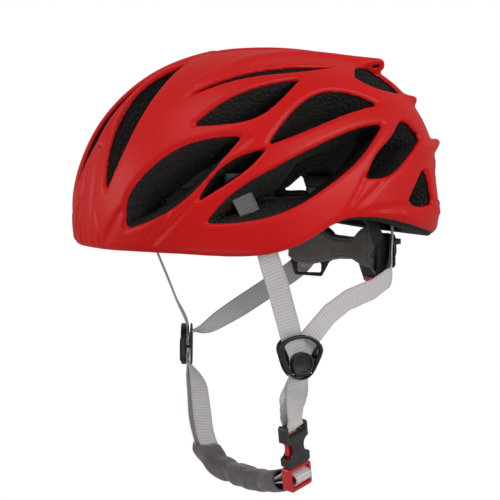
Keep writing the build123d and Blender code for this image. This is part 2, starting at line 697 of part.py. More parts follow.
with BuildPart() as pinion:
    with BuildSketch(dial_plane.offset(RACK_Y)):
        Circle(GEAR_ROOT)
        for i in range(TEETH):
            with BuildLine():
                Polyline(gear_tooth(90 + i * 360 / TEETH))
            make_face()
    extrude(amount=RACK_THICK)
    with BuildSketch(dial_plane.offset(WALL_Y + 0.2)):
        Circle(1.8)
    extrude(amount=RACK_Y - WALL_Y)
    with BuildSketch(dial_plane.offset(RACK_Y + RACK_THICK)):
        Circle(3.2)
    extrude(amount=KNOB_Y - RACK_Y - RACK_THICK)
    with BuildSketch(dial_plane.offset(KNOB_Y)):
        RegularPolygon(HEX_RADIUS, 6)
    extrude(amount=4)
    with BuildSketch(dial_plane.offset(RACK_Y + 1)):
        Circle(1.05)
    extrude(amount=KNOB_Y + 4 - RACK_Y, mode=Mode.SUBTRACT)
finish(pinion.part, "pinion")

with BuildPart() as dial_knob:
    with BuildSketch(dial_plane.offset(KNOB_Y)):
        Circle(DIAL_RADIUS - 1.4)
        RegularPolygon(HEX_RADIUS + 0.08, 6, mode=Mode.SUBTRACT)
    extrude(amount=KNOB_THICK)
    with BuildSketch(dial_plane.offset(KNOB_Y)):
        Circle(9.0)
        Circle(4.4, mode=Mode.SUBTRACT)
    extrude(amount=1.4, mode=Mode.SUBTRACT)
    with BuildSketch(dial_plane.offset(KNOB_Y + 4)):
        Circle(3.4)
    extrude(amount=KNOB_THICK - 4, mode=Mode.SUBTRACT)
finish(dial_knob.part, "dial_knob")

with BuildPart() as dial_grip:
    with BuildSketch(dial_plane.offset(KNOB_Y + 0.6)):
        Circle(DIAL_RADIUS)
        with PolarLocations(DIAL_RADIUS + 0.4, 18):
            Circle(1.0, mode=Mode.SUBTRACT)
        Circle(DIAL_RADIUS - 1.4, mode=Mode.SUBTRACT)
    extrude(amount=KNOB_THICK - 1.6)
finish(dial_grip.part, "dial_grip")

with BuildPart() as dial_screw:
    with BuildSketch(dial_plane.offset(KNOB_Y + 4.02)):
        Circle(2.6)
    extrude(amount=1.6)
    with BuildSketch(dial_plane.offset(RACK_Y + 1.4)):
        Circle(1.0)
    extrude(amount=KNOB_Y + 4.02 - RACK_Y - 1.4)
    with BuildSketch(dial_plane.offset(KNOB_Y + 4.8)):
        Rectangle(3.2, 0.7)
        Rectangle(0.7, 3.2)
    extrude(amount=1, mode=Mode.SUBTRACT)
finish(dial_screw.part, "dial_screw")

with BuildPart() as detent_spring:
    with BuildSketch(dial_plane.offset(COVER_Y + COVER_THICK)):
        Circle(8.4)
        Circle(5.0, mode=Mode.SUBTRACT)
        with PolarLocations(6.7, 3):
            Rectangle(4, 0.8, mode=Mode.SUBTRACT)
    extrude(amount=0.5)
finish(detent_spring.part, "detent_spring")
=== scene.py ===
import json
import math
import bmesh
import bpy
import numpy as np
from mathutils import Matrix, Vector


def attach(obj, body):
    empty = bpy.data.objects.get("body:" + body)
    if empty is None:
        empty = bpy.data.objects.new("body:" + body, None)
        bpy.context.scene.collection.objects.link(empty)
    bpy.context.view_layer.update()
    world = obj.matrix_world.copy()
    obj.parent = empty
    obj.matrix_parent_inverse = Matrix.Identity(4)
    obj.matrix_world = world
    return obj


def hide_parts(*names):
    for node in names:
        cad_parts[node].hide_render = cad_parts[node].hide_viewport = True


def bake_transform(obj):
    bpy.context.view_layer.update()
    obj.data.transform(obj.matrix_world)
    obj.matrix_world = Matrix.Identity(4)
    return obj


# Cycling helmet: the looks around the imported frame. Lengths are millimetres in its axes (+Z up, front
# towards -Y, wearer's left towards +X), until a mesh is made in metres.

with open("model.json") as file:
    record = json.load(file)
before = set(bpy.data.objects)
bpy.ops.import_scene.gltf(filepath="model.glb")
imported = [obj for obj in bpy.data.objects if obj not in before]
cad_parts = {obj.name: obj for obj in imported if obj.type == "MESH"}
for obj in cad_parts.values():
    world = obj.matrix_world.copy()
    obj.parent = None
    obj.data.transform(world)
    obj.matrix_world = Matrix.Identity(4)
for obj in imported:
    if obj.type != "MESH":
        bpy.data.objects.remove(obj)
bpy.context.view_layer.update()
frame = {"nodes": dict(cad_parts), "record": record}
MM = 0.001

# ---- shape of the dome ----
HALF_WIDTH = 103.0
ROUNDNESS = 2.25
MID_Y, MID_Z = 5.0, 10.0
PROFILE = [(-128, -14), (-130, 5), (-128, 28), (-120, 52), (-107, 74), (-91, 91), (-64, 109), (-34, 119),
           (0, 122.5), (38, 121), (74, 113), (102, 96), (122, 70), (131, 40), (134, 12), (129, -14),
           (100, -70), (0, -100), (-100, -70)]
RIM = [(-150, -14), (-100, -13), (-30, -12), (-10, -4), (12, 7), (32, 8.5), (60, 4.5), (95, -4), (118, -9)]
RIM_END = [(136, 13), (160, 60), (160, 190), (-190, 190), (-190, -14)]

# Vents: bearing from the front, elevation, edge bevel, then the upper and lower edge of the outline on a
# plane VENT_PLANE from the middle of the dome.
VENT_PLANE = 110.0
VENTS = {
    "brow_crescent": (9, 26, 4, [(3, -38), (-6, -10), (-11, 16), (-10, 40), (-3, 69)],
                      [(8, -16), (9, 6), (6, 32)]),
    "front_almond": (36, 12, 5, [(-34, -30), (-33, -14), (-22, 2), (-4, 18), (14, 27), (33, 33)],
                     [(-24, -27), (0, -14), (18, 8)]),
    "upper_front": (60, 42, 4, [(-41, -20), (-20, -2), (4, 14), (28, 28)], [(0, -12), (17, 8)]),
    "middle_slit": (52, 15, 3, [(-20, -18), (-9, 0), (5, 11), (20, 18)], [(-4, -7), (10, 5)]),
    "side_long": (82, 14, 5, [(-88, -31), (-66, -12), (-30, 7), (20, 30), (50, 42), (72, 48)],
                  [(-52, -29), (-20, -21), (10, -5), (42, 18), (60, 36)]),
    "upper_rear": (94, 38, 5, [(-54, -17), (-30, 2), (-8, 15), (10, 19), (30, 15), (44, 9)],
                   [(-22, -10), (14, 1)]),
    "rear_side": (122, 22, 4, [(-32, -15), (-20, -2), (2, 10), (18, 18), (33, 6)], [(-14, -16), (16, -2)]),
    "rear_low": (134, 6, 3, [(-16, -3), (8, 14), (15, -7)], [(-8, -7), (4, -8)]),
    "rear_high": (140, 46, 3, [(-20, 12), (-6, 17), (10, 15), (21, 7), (22, -5)],
                  [(-16, 2), (-4, -7), (10, -11)]),
    "ridge_slit": (88, 60, 3, [(-96, -5), (-40, -1), (28, 4)], [(-44, -5), (0, -3)]),
    "crown_slot": (100, 82, 3, [(-45, 15), (-10, 9), (20, 4), (50, -6)], [(-20, 2), (10, -6), (36, -10)]),
    "rear_upper_slot": (168, 32, 4, [(8, 34), (-6, 26), (-13, 2), (-13, -20), (-3, -35)],
                        [(10, 6), (10, -28)]),
    "rear_exhaust": (158, 6, 3, [(-15, 19), (-19, 2), (-15, -11)], [(4, 10), (14, -2), (8, -12)]),
}

# Fins that stand proud of the dome: points along the middle of each, with its radius there.
FINS = [
    [(0, -124.6, 27.3, 3.8), (0, -116.8, 50.5, 6), (0, -104.2, 71.9, 6), (0, -88.8, 88.3, 6),
     (0, -62.5, 105.9, 5.5), (0, -33.3, 115.6, 3.8)],
    [(42, -66, 95, 4), (38, -30, 109, 5), (34, 0, 113.5, 6), (33, 30, 113, 6.5), (33, 58, 111, 6),
     (33, 81, 110, 5)],
    [(66, 0, 85, 4), (64, 35, 86, 6), (57, 68, 86, 5.5), (45.5, 101.5, 85.5, 3.2)],
    [(90, 50, 50, 4), (77, 82, 51, 5.5), (60, 106, 52, 4.6), (39.5, 125, 55.5, 3.2)],
    [(90, 66, 9, 4), (72, 95, 9, 5), (52, 117, 10, 4.5), (31, 130, 11, 4)],
]
FIN_BLEND = 3.4         # width of the fillet between a fin and the dome
FIN_REACH = 20          # grid kept around a fin

# Creases pressed into the skin: points along each, its depth and its width.
CREASES = [
    ([(60, -109, -8), (79, -88, 22), (85, -67, 48), (86, -50, 62)], 1.8, 2.0),
    ([(100, 31, 36), (103, 15, 12)], 1.6, 2.0),
    ([(97, 49, 35), (103, 18, 11)], 1.4, 2.0),
    ([(103, 13, 10), (97, 55, 14), (78, 96, 15)], 1.6, 2.2),
    ([(0, -131, -14), (0, -132, 5), (0, -130, 30), (0, -121, 53)], 2.0, 3.0),
    ([(3, -119.7, 52.6), (7, -128.5, 26), (8.5, -129.5, 9.4), (9.8, -128.6, -9.3)], 2.2, 2.2),
    ([(11, -124.3, 40), (10.6, -129, 18.6), (19, -128.5, 1), (19.5, -127.6, -8)], 2.0, 2.0),
    ([(40.2, -122.4, 13.1), (31.3, -125.6, 0.7), (22.6, -126.9, -9.2)], 2.2, 2.4),
    ([(69.2, -101.8, 12.2), (60, -109.8, -4.5)], 1.6, 2.2),
]

GRID_REACH = ((0, 114), (-138, 144), (-26, 130))
SHELL_STEP = 1.35     # spacing of the grid that the shell and the liner are meshed on
SHELL_SKIN = 1.2
SHELL_WRAP = 2.6        # depth that the skin reaches into a vent and under the rim
RIM_BEVEL = 3.5
RIM_PITCH = 0.6         # fall of the bevel along the rim
FACET_PITCH = 0.45      # fall of the facets beside the vents
VENT_BEVEL = 0.5        # share of its bevel that each vent gets
VENT_GROW = 0.7         # vents cut this far outside their outlines
VENT_MARGIN = 30        # around an outline, where distances to it are worked out
VENT_START = 20         # from the middle of the dome to where the vents begin
LINER_GAP = 2.0         # liner below the outer face of the skin
LINER_DEPTH = 25.0
LINER_DROP = 2.4        # liner's edge below the skin's at the back, from the Y and over the run below
LINER_DROP_FROM, LINER_DROP_RUN = -10, 40
OUTSIDE = 99            # a distance well outside every piece
LINER_RECESS = 1.8      # liner's vent walls behind the skin's
LINER_TAPER = 0.3       # how fast each side of a vent closes in with depth
TAPER_OF = {"front_almond": 0.55, "side_long": 0.08, "upper_front": 0.4}  # vents with their own taper
FRONT_TAPER = 0.55      # added to side_long at its front, which hides the strap's anchor
FRONT_TAPER_FROM = -8   # it begins at this Y and is whole FRONT_TAPER_RUN further forward
FRONT_TAPER_RUN = 22


def unit(vectors):
    """Vectors of length 1 along the given ones."""
    return vectors / np.linalg.norm(vectors, axis=-1, keepdims=True)


def running_length(line):
    """Length of a line up to each of its points."""
    return np.concatenate([[0], np.cumsum(np.linalg.norm(np.diff(line, axis=0), axis=1))])


def spline(points, count, closed=False):
    """Points evenly spaced by chord length on the cubic spline through the given ones."""
    points = np.array(points, float)
    if closed:
        points = np.vstack([points, points[:1]])
    size = len(points)
    knots = running_length(points)
    gaps = np.diff(knots)
    matrix = np.eye(size)
    right = np.zeros_like(points)
    slopes = np.diff(points, axis=0) / gaps[:, None]
    for i in range(1, size - 1):
        matrix[i, i - 1:i + 2] = gaps[i - 1], 2 * (gaps[i - 1] + gaps[i]), gaps[i]
        right[i] = 6 * (slopes[i] - slopes[i - 1])
    if closed:
        matrix[0, 0] = 2 * (gaps[-1] + gaps[0])
        matrix[0, 1] = gaps[0]
        matrix[0, size - 2] = gaps[-1]
        right[0] = 6 * (slopes[0] - slopes[-1])
        matrix[-1, 0] = -1
    bend = np.linalg.solve(matrix, right)
    places = np.linspace(0, knots[-1], count, endpoint=not closed)
    i = np.clip(np.searchsorted(knots, places, side="right") - 1, 0, size - 2)
    gap = gaps[i][:, None]
    before = (knots[i + 1] - places)[:, None] / gap
    after = 1 - before
    curve = before * points[i] + after * points[i + 1]
    return curve + ((before ** 3 - before) * bend[i] + (after ** 3 - after) * bend[i + 1]) * gap ** 2 / 6


def outline_distance(outline, u, v):
    """Distance from (u, v) to a closed outline, negative inside it."""
    far = np.full(u.shape, 1e9)
    inside = np.zeros(u.shape, bool)
    for (u0, v0), (u1, v1) in zip(outline, np.roll(outline, -1, axis=0)):
        du, dv = u1 - u0, v1 - v0
        share = np.clip(((u - u0) * du + (v - v0) * dv) / (du * du + dv * dv + 1e-12), 0, 1)
        far = np.minimum(far, (u - u0 - share * du) ** 2 + (v - v0 - share * dv) ** 2)
        if v0 != v1:
            inside ^= ((v0 > v) != (v1 > v)) & (u < du * (v - v0) / dv + u0)
    return np.where(inside, -1, 1) * np.sqrt(far)


class Grid:
    """A grid over the left half of the dome; values are mirrored to the right when it is meshed."""

    def __init__(self, step):
        self.step = step
        self.x, self.y, self.z = (np.arange(low, high, step) for low, high in GRID_REACH)
        self.X, self.Y, self.Z = np.meshgrid(self.x, self.y, self.z, indexing="ij")
        self.origin = np.array([-self.x[-1], self.y[0], self.z[0]])     # of the mirrored grid

    def near(self, points, margin):
        """Slices of the grid that surround some points."""
        low = np.min(np.array(points)[:, :3], axis=0) - margin
        high = np.max(np.array(points)[:, :3], axis=0) + margin
        axes = zip((self.x, self.y, self.z), low, high)
        return tuple(slice(*np.searchsorted(axis, (a, b))) for axis, a, b in axes)

    def path(self, points, where):
        """Distance to a smooth path, less its radius where the points give one."""
        curve = spline(points, 18)
        radii = curve[:, 3] if curve.shape[1] > 3 else np.zeros(len(curve))
        place = np.stack([self.X[where], self.Y[where], self.Z[where]], -1)
        best = np.full(place.shape[:-1], 1e9)
        for a, b, ra, rb in zip(curve[:-1, :3], curve[1:, :3], radii[:-1], radii[1:]):
            share = np.clip((place - a) @ (b - a) / np.dot(b - a, b - a), 0, 1)
            gap = np.linalg.norm(place - a - share[..., None] * (b - a), axis=-1)
            best = np.minimum(best, gap - ra - share * (rb - ra))
        return best

    def slope(self, values):
        """Length of the gradient, used to turn a field into a distance."""
        parts = np.gradient(values, self.step)
        return np.sqrt(sum(part ** 2 for part in parts)) + 1e-9


def dome_height(grid):
    """Height above the smooth dome, negative inside it."""
    outline = spline(PROFILE, 720, closed=True) - (MID_Y, MID_Z)
    angles = np.arctan2(outline[:, 1], outline[:, 0])
    order = np.argsort(angles)
    radii = np.hypot(outline[:, 0], outline[:, 1])[order]
    side_y, side_z = grid.Y - MID_Y, grid.Z - MID_Z
    radius = np.interp(np.arctan2(side_z, side_y), angles[order], radii, period=2 * math.pi)
    share = np.hypot(side_y, side_z) / radius
    gauge = (share ** ROUNDNESS + (grid.X / HALF_WIDTH) ** ROUNDNESS) ** (1 / ROUNDNESS)
    return (gauge - 1) / grid.slope(gauge)


def add_relief(grid, height):
    """Raise the fins out of the dome and press the creases into it."""
    for fin in FINS:
        where = grid.near(fin, FIN_REACH)
        bump = grid.path(fin, where)
        blend = np.clip(0.5 + 0.5 * (height[where] - bump) / FIN_BLEND, 0, 1)
        mixed = height[where] * (1 - blend) + bump * blend
        height[where] = mixed - FIN_BLEND * blend * (1 - blend)
    for points, depth, width in CREASES:
        where = grid.near(points, 3 * width)
        gap = np.maximum(grid.path(points, where), 0)
        height[where] += depth * np.exp(-(gap / width) ** 2)


def vent_distance(grid, bearing, elevation, upper, lower):
    """Distance from a vent's cone, negative inside the vent."""
    b, e = math.radians(bearing), math.radians(elevation)
    out = np.array([math.cos(e) * math.sin(b), -math.cos(e) * math.cos(b), math.sin(e)])
    side = np.array([math.cos(b), math.sin(b), 0])
    up = np.cross(out, side)
    outline = np.vstack([spline(upper, 40), spline([upper[0]] + lower + [upper[-1]], 40)[::-1][1:-1]])
    low, high = outline.min(0) - VENT_MARGIN, outline.max(0) + VENT_MARGIN
    us = np.arange(low[0], high[0])
    vs = np.arange(low[1], high[1])
    table = outline_distance(outline, *np.meshgrid(us, vs, indexing="ij"))
    place = np.stack([grid.X, grid.Y - MID_Y, grid.Z - MID_Z], -1)
    along = place @ out
    scale = np.maximum(along, 1) / VENT_PLANE
    u = np.clip(place @ side / scale - low[0], 0, len(us) - 1.001)
    v = np.clip(place @ up / scale - low[1], 0, len(vs) - 1.001)
    i, j = u.astype(int), v.astype(int)
    u, v = u - i, v - j
    near = table[i, j] * (1 - u) + table[i + 1, j] * u
    far = table[i, j + 1] * (1 - u) + table[i + 1, j + 1] * u
    gap = (near * (1 - v) + far * v) * scale
    return np.where(along > VENT_START, gap / np.clip(grid.slope(gap), 0.4, 2), OUTSIDE)


def rim_height(grid):
    """Depth above the lower edge of the shell, negative above it."""
    edge = np.vstack([spline(RIM, 60), RIM_END])
    flat = outline_distance(edge, *np.meshgrid(grid.y, grid.z, indexing="ij"))
    return np.broadcast_to(flat, grid.X.shape)


def facet(skin, wall, width, pitch):
    """A flat facet that falls away from the skin by pitch, from width before a wall."""
    return (skin + pitch * (wall + width)) / math.hypot(1, pitch)


def largest(*fields):
    """The solid that all the fields share."""
    return np.maximum.reduce(fields)


def mirrored(values):
    """Values of both halves of the grid from those of the left half."""
    return np.concatenate([values[:0:-1], values])


def surface(values, grid):
    """Points and quads where a mirrored grid changes sign, with a point in each cell that this crosses."""
    values = mirrored(values)
    solid = values < 0
    cells = np.array(values.shape) - 1
    homes, places, fours, flips = [], [], [], []
    for axis in range(3):
        b, c = (axis + 1) % 3, (axis + 2) % 3
        whole = (slice(None),)
        low = whole * axis + (slice(None, -1),) + whole * (2 - axis)
        high = whole * axis + (slice(1, None),) + whole * (2 - axis)
        edges = np.argwhere(solid[low] != solid[high])
        across = edges[:, (b, c)]
        edges = edges[((across > 0) & (across < cells[[b, c]])).all(1)]
        first = values[low][tuple(edges.T)]
        second = values[high][tuple(edges.T)]
        place = edges.astype(float)
        place[:, axis] += first / (first - second)
        one_b, one_c = np.eye(3, dtype=int)[[b, c]]
        four = [np.ravel_multi_index(tuple((edges - back).T), cells)
                for back in (one_b + one_c, one_c, 0 * one_b, one_b)]
        homes += four
        places += [place] * 4
        fours.append(np.stack(four, 1))
        flips.append(first > 0)
    used, index = np.unique(np.concatenate(homes), return_inverse=True)
    count = np.bincount(index)
    places = np.concatenate(places)
    points = np.stack([np.bincount(index, places[:, k]) for k in range(3)], 1) / count[:, None]
    quads = np.searchsorted(used, np.concatenate(fours))
    flip = np.concatenate(flips)
    quads[flip] = quads[flip][:, ::-1]
    for _ in range(3):
        points = settle(points, quads, values)
    return points * grid.step + grid.origin, quads


def sample(values, places):
    """Values of a grid between its points."""
    places = np.clip(places, 0, np.array(values.shape) - 1.001)
    base = places.astype(int)
    share = places - base
    total = 0
    for corner in np.ndindex(2, 2, 2):
        weight = np.prod(np.where(corner, share, 1 - share), axis=1)
        total = total + weight * values[tuple((base + corner).T)]
    return total


def rise(values, places, reach):
    """Change of the values along each axis, from reach cells before each place to as far behind it."""
    return np.stack([sample(values, places + e) - sample(values, places - e) for e in np.eye(3) * reach], 1)


def quad_edges(quads):
    """The four edges of every quad, as pairs of points."""
    return np.vstack([quads[:, [k, (k + 1) % 4]] for k in range(4)])


def neighbours(points, edges):
    """For each point, how many times it is an end of an edge, and the mean of the other ends."""
    pairs = np.vstack([edges, edges[:, ::-1]])
    count = np.bincount(pairs[:, 0], minlength=len(points))
    total = np.stack([np.bincount(pairs[:, 0], points[pairs[:, 1], k], len(points)) for k in range(3)], 1)
    return count, total / np.maximum(count, 1)[:, None]


def settle(points, quads, values):
    """Even out the points among their neighbours and put them back on the surface."""
    count, mean = neighbours(points, quad_edges(quads))
    points = 0.5 * points + 0.5 * mean
    slope = rise(values, points, 0.5)
    step = sample(values, points)[:, None] * slope / np.maximum((slope ** 2).sum(1), 0.05)[:, None]
    return points - np.clip(step, -0.7, 0.7)


def even_border(points, quads):
    """Smooth the open edge of a sheet along itself."""
    edges, uses = np.unique(np.sort(quad_edges(quads), axis=1), axis=0, return_counts=True)
    for _ in range(8):
        count, mean = neighbours(points, edges[uses == 1])
        points = np.where((count == 2)[:, None], 0.5 * points + 0.5 * mean, points)
    return points


def in_scene(name, data):
    """A new object in the scene."""
    obj = bpy.data.objects.new(name, data)
    bpy.context.scene.collection.objects.link(obj)
    return obj


def make_object(name, points, faces, smooth=True):
    """A mesh object from points in millimetres."""
    mesh = bpy.data.meshes.new(name)
    mesh.from_pydata((np.array(points) * MM).tolist(), [], [list(map(int, face)) for face in faces])
    mesh.polygons.foreach_set("use_smooth", [smooth] * len(mesh.polygons))
    mesh.update()
    return in_scene(name, mesh)


def apply_modifiers(obj):
    """Keep the mesh that the modifiers give."""
    graph = bpy.context.evaluated_depsgraph_get()
    mesh = bpy.data.meshes.new_from_object(obj.evaluated_get(graph))
    obj.modifiers.clear()
    obj.data = mesh


def joined(size, count, closed=False, capped=True, start=0):
    """Faces along count rings of size points, which close on themselves or have a cap at each end."""
    faces = []
    for i in range(count if closed else count - 1):
        for j in range(size):
            k, up = (j + 1) % size, (i + 1) % count
            faces.append((i * size + j, i * size + k, up * size + k, up * size + j))
    if capped and not closed:
        faces += [tuple(range(size))[::-1], tuple(range((count - 1) * size, count * size))]
    return [tuple(index + start for index in face) for face in faces]


def shade_smooth(mesh):
    mesh.polygons.foreach_set("use_smooth", [True] * len(mesh.polygons))


def read_points(mesh):
    points = np.empty(len(mesh.vertices) * 3)
    mesh.vertices.foreach_get("co", points)
    return points.reshape(-1, 3)


def keep_used(points, faces):
    """Drop the points that no face uses."""
    used, faces = np.unique(faces, return_inverse=True)
    return points[used], faces.reshape(-1, 4)


def make_shell_and_liner():
    """The red skin, which wraps into the vents and under the rim, and the black foam liner inside it."""
    grid = Grid(SHELL_STEP)
    dome = dome_height(grid)
    skin = dome.copy()
    add_relief(grid, skin)
    face = skin.copy()
    walls = np.full_like(skin, -OUTSIDE)
    foam = -dome - LINER_DEPTH
    depth = np.clip(-dome, 0, LINER_DEPTH)
    for name, (bearing, elevation, bevel, upper, lower) in VENTS.items():
        gap = vent_distance(grid, bearing, elevation, upper, lower) - VENT_GROW
        face = largest(face, facet(skin, -gap, bevel * VENT_BEVEL, FACET_PITCH))
        walls = largest(walls, -gap)
        taper = TAPER_OF.get(name, LINER_TAPER)
        if name == "side_long":
            taper = taper + FRONT_TAPER * np.clip((FRONT_TAPER_FROM - grid.Y) / FRONT_TAPER_RUN, 0, 1)
        foam = largest(foam, LINER_RECESS - taper * depth - gap)
    rim = rim_height(grid)

    points, quads = surface(largest(face, walls, rim, facet(skin, rim, RIM_BEVEL, RIM_PITCH)), grid)
    depth_grid = mirrored(skin)
    depth = sample(depth_grid, (points - grid.origin) / grid.step)
    points, quads = keep_used(points, quads[(depth[quads] > -SHELL_WRAP).any(1)])
    places = (points - grid.origin) / grid.step
    out = unit(rise(depth_grid, places, 1))
    points += out * np.clip(-SHELL_WRAP - sample(depth_grid, places), 0, 4)[:, None]
    shell = make_object("shell_skin", even_border(points, quads), quads)
    solid = shell.modifiers.new("Thickness", "SOLIDIFY")
    solid.thickness = SHELL_SKIN * MM
    solid.offset = -1
    apply_modifiers(shell)

    edge = rim - LINER_DROP * np.clip((grid.Y - LINER_DROP_FROM) / LINER_DROP_RUN, 0, 1)
    foam = largest(foam, face + LINER_GAP, edge, facet(dome + LINER_GAP, edge, RIM_BEVEL, RIM_PITCH))
    liner = make_object("foam_liner", *surface(foam, grid))
    return shell, liner


# ---- materials ----
def new_material(name, **sockets):
    """A material whose shader has these values all over."""
    material = bpy.data.materials.new(name)
    material.use_nodes = True
    shader = material.node_tree.nodes["Principled BSDF"]
    for socket, value in sockets.items():
        shader.inputs[socket.replace("_", " ")].default_value = value
    return material


def node(material, kind, **sockets):
    """A node of a material, with values or other nodes' outputs on its sockets."""
    made = material.node_tree.nodes.new("ShaderNode" + kind)
    for name, value in sockets.items():
        socket = made.inputs[int(name[1:])] if name[0] == "i" and name[1:].isdigit() else made.inputs[name]
        if isinstance(value, bpy.types.NodeSocket):
            material.node_tree.links.new(value, socket)
        else:
            socket.default_value = value
    return made


def maths(material, operation, a, b=0.0):
    """The result of one sum."""
    made = node(material, "Math", i0=a, i1=b)
    made.operation = operation
    return made.outputs[0]


def frame_place(material):
    """The place on the object, in metres of the shared frame."""
    return node(material, "TexCoord").outputs["Object"]


def noise(material, scale, detail=2.0, place=None):
    place = place or frame_place(material)
    return node(material, "TexNoise", Vector=place, Scale=scale, Detail=detail).outputs["Fac"]


def product(material, a, b):
    return maths(material, "MULTIPLY", a, b)


def cells(material, scale):
    """Distance to the nearest of scattered points, for beads and pebbles."""
    return node(material, "TexVoronoi", Vector=frame_place(material), Scale=scale).outputs["Distance"]


def ramp(material, factor, *stops):
    """Colours by a factor, as (place, colour)."""
    made = node(material, "ValToRGB", Fac=factor)
    elements = made.color_ramp.elements
    for _ in stops[2:]:
        elements.new(0.5)
    for element, (place, colour) in zip(elements, stops):
        element.position = place
        element.color = (*colour, 1)
    return made.outputs["Color"]


def finish_shader(material, colour=None, roughness=None, height=None, depth=0.0002, strength=1.0):
    """Link what varies over a surface to its shader; depth is the relief in metres."""
    shader = material.node_tree.nodes["Principled BSDF"]
    links = material.node_tree.links
    if colour:
        links.new(colour, shader.inputs["Base Color"])
    if roughness:
        links.new(roughness, shader.inputs["Roughness"])
    if height:
        bump = node(material, "Bump", Height=height, Distance=depth, Strength=strength)
        links.new(bump.outputs["Normal"], shader.inputs["Normal"])
    return material


def spread(material, factor, low, high, least=0.0, most=1.0):
    """A factor that runs from least to most, moved to run from low to high."""
    made = node(material, "MapRange", **{
        "Value": factor, "From Min": least, "From Max": most, "To Min": low, "To Max": high})
    return made.outputs["Result"]


def satin_red():
    """Painted shell: a red with slight clouds, fine orange peel and a thin clear coat."""
    m = new_material("satin_red_shell", Coat_Weight=0.05, Coat_Roughness=0.3, Specular_IOR_Level=0.22)
    colour = ramp(m, noise(m, 16, 3), (0.3, (0.66, 0.004, 0.004)), (0.7, (0.74, 0.006, 0.005)))
    rough = spread(m, noise(m, 240, 4), 0.38, 0.48)
    return finish_shader(m, colour, rough, noise(m, 1100, 2), 0.00006, 0.35)


def bead_foam():
    """Moulded foam: dark beads 2 to 3 mm across with tight dimples between them."""
    m = new_material("bead_foam", Specular_IOR_Level=0.35)
    beads = cells(m, 420)
    speck = noise(m, 700, 3)
    colour = ramp(m, speck, (0.35, (0.005, 0.004, 0.004)), (0.55, (0.012, 0.011, 0.010)),
                  (0.75, (0.034, 0.030, 0.027)))
    height = maths(m, "SUBTRACT", speck, product(m, beads, 1.4))
    return finish_shader(m, colour, spread(m, speck, 0.55, 0.85), height, 0.0006, 0.8)


def knit(name, dark, light, scale=900, depth=0.00025):
    """Brushed knitted fabric over foam."""
    m = new_material(name, Sheen_Weight=0.35, Sheen_Roughness=0.45, Specular_IOR_Level=0.2)
    loops = cells(m, scale)
    clouds = noise(m, 55, 4)
    mixed = maths(m, "ADD", product(m, loops, 0.45), product(m, clouds, 0.65))
    colour = ramp(m, mixed, (0.3, dark), (0.72, light))
    height = maths(m, "ADD", loops, product(m, noise(m, 1600, 2), 0.5))
    return finish_shader(m, colour, spread(m, clouds, 0.75, 0.95), height, depth, 0.7)


def moulded(name, colour, lighter, rough=(0.38, 0.52), coat=0.0):
    """Moulded plastic with a fine spark-eroded texture."""
    m = new_material(name, Specular_IOR_Level=0.5, Coat_Weight=coat, Coat_Roughness=0.2)
    clouds = noise(m, 130, 4)
    tint = ramp(m, clouds, (0.3, colour), (0.75, lighter))
    return finish_shader(m, tint, spread(m, noise(m, 420, 3), *rough), noise(m, 2600, 2), 0.00008, 0.4)


def rubber():
    m = new_material("grip_rubber", Specular_IOR_Level=0.3)
    tint = ramp(m, noise(m, 160, 4), (0.3, (0.014, 0.014, 0.015)), (0.75, (0.030, 0.030, 0.031)))
    return finish_shader(m, tint, spread(m, noise(m, 500, 3), 0.7, 0.9), cells(m, 2200), 0.0001, 0.4)


def steel():
    """Plated steel with drawn lines."""
    m = new_material("plated_steel", Metallic=1.0)
    tint = ramp(m, noise(m, 300, 4), (0.3, (0.42, 0.42, 0.43)), (0.75, (0.60, 0.60, 0.61)))
    return finish_shader(m, tint, spread(m, noise(m, 900, 3), 0.25, 0.42), noise(m, 3000, 2), 0.00003, 0.3)


RIB_PITCH = 2.2         # between the ribs of the webbing, along its length
WARP_PITCH = 0.55       # between its threads, across its width
WOVEN_EDGE = 6.5        # the ribs end this far from its middle
SHADE_FROM, SHADE_TO = -0.008, 0.004  # height in metres over which it darkens to painted shade inside the shell
# share of its colour left where painted shade stands for the shell's shadow on the webbing inside it
PAINTED_SHADE_TONE = 0.2


def ribbed_webbing():
    """Polyester webbing: ribs across it, threads along it, a tight edge each side; painted shade darkens it
    in its grooves and inside the shell.
    """
    m = new_material("ribbed_webbing", Sheen_Weight=0.25, Sheen_Roughness=0.35, Specular_IOR_Level=0.4)
    uv = node(m, "UVMap").outputs["UV"]
    parts = node(m, "SeparateXYZ", Vector=uv)
    across, along = parts.outputs["X"], parts.outputs["Y"]
    rib = maths(m, "ABSOLUTE", maths(m, "SINE", product(m, along, math.pi / RIB_PITCH)))
    warp = maths(m, "ABSOLUTE", maths(m, "SINE", product(m, across, math.pi / WARP_PITCH)))
    edge = maths(m, "GREATER_THAN", maths(m, "ABSOLUTE", across), WOVEN_EDGE)
    weave = maths(m, "ADD", product(m, rib, 0.75), product(m, warp, 0.25))
    weave = product(m, weave, maths(m, "SUBTRACT", 1.0, product(m, edge, 0.45)))
    stretched = node(m, "Mapping", Vector=uv)
    stretched.inputs["Scale"].default_value = (2.2, 0.35, 1)
    fibre = noise(m, 1.0, 4, stretched.outputs["Vector"])
    # Painted shade in the grooves: the colour is darker where the weave is low, between the ribs and along
    # the tight edges; the fibre noise is the webbing's own uneven colour.
    groove_shade_and_fibre = maths(m, "ADD", product(m, weave, 0.55), product(m, fibre, 0.5))
    colour = ramp(m, groove_shade_and_fibre, (0.15, (0.48, 0.455, 0.46)), (0.55, (0.70, 0.665, 0.67)),
                  (0.95, (0.84, 0.80, 0.80)))
    # Painted shade: above the rim, where the webbing runs up inside the shell, its colour is darkened to
    # stand for the shell's shadow.
    height = node(m, "SeparateXYZ", Vector=frame_place(m)).outputs["Z"]
    shade = spread(m, height, 1.0, PAINTED_SHADE_TONE, SHADE_FROM, SHADE_TO)
    colour = node(m, "HueSaturation", Color=colour, Value=shade).outputs["Color"]
    return finish_shader(m, colour, spread(m, fibre, 0.36, 0.56), weave, 0.00022, 0.6)


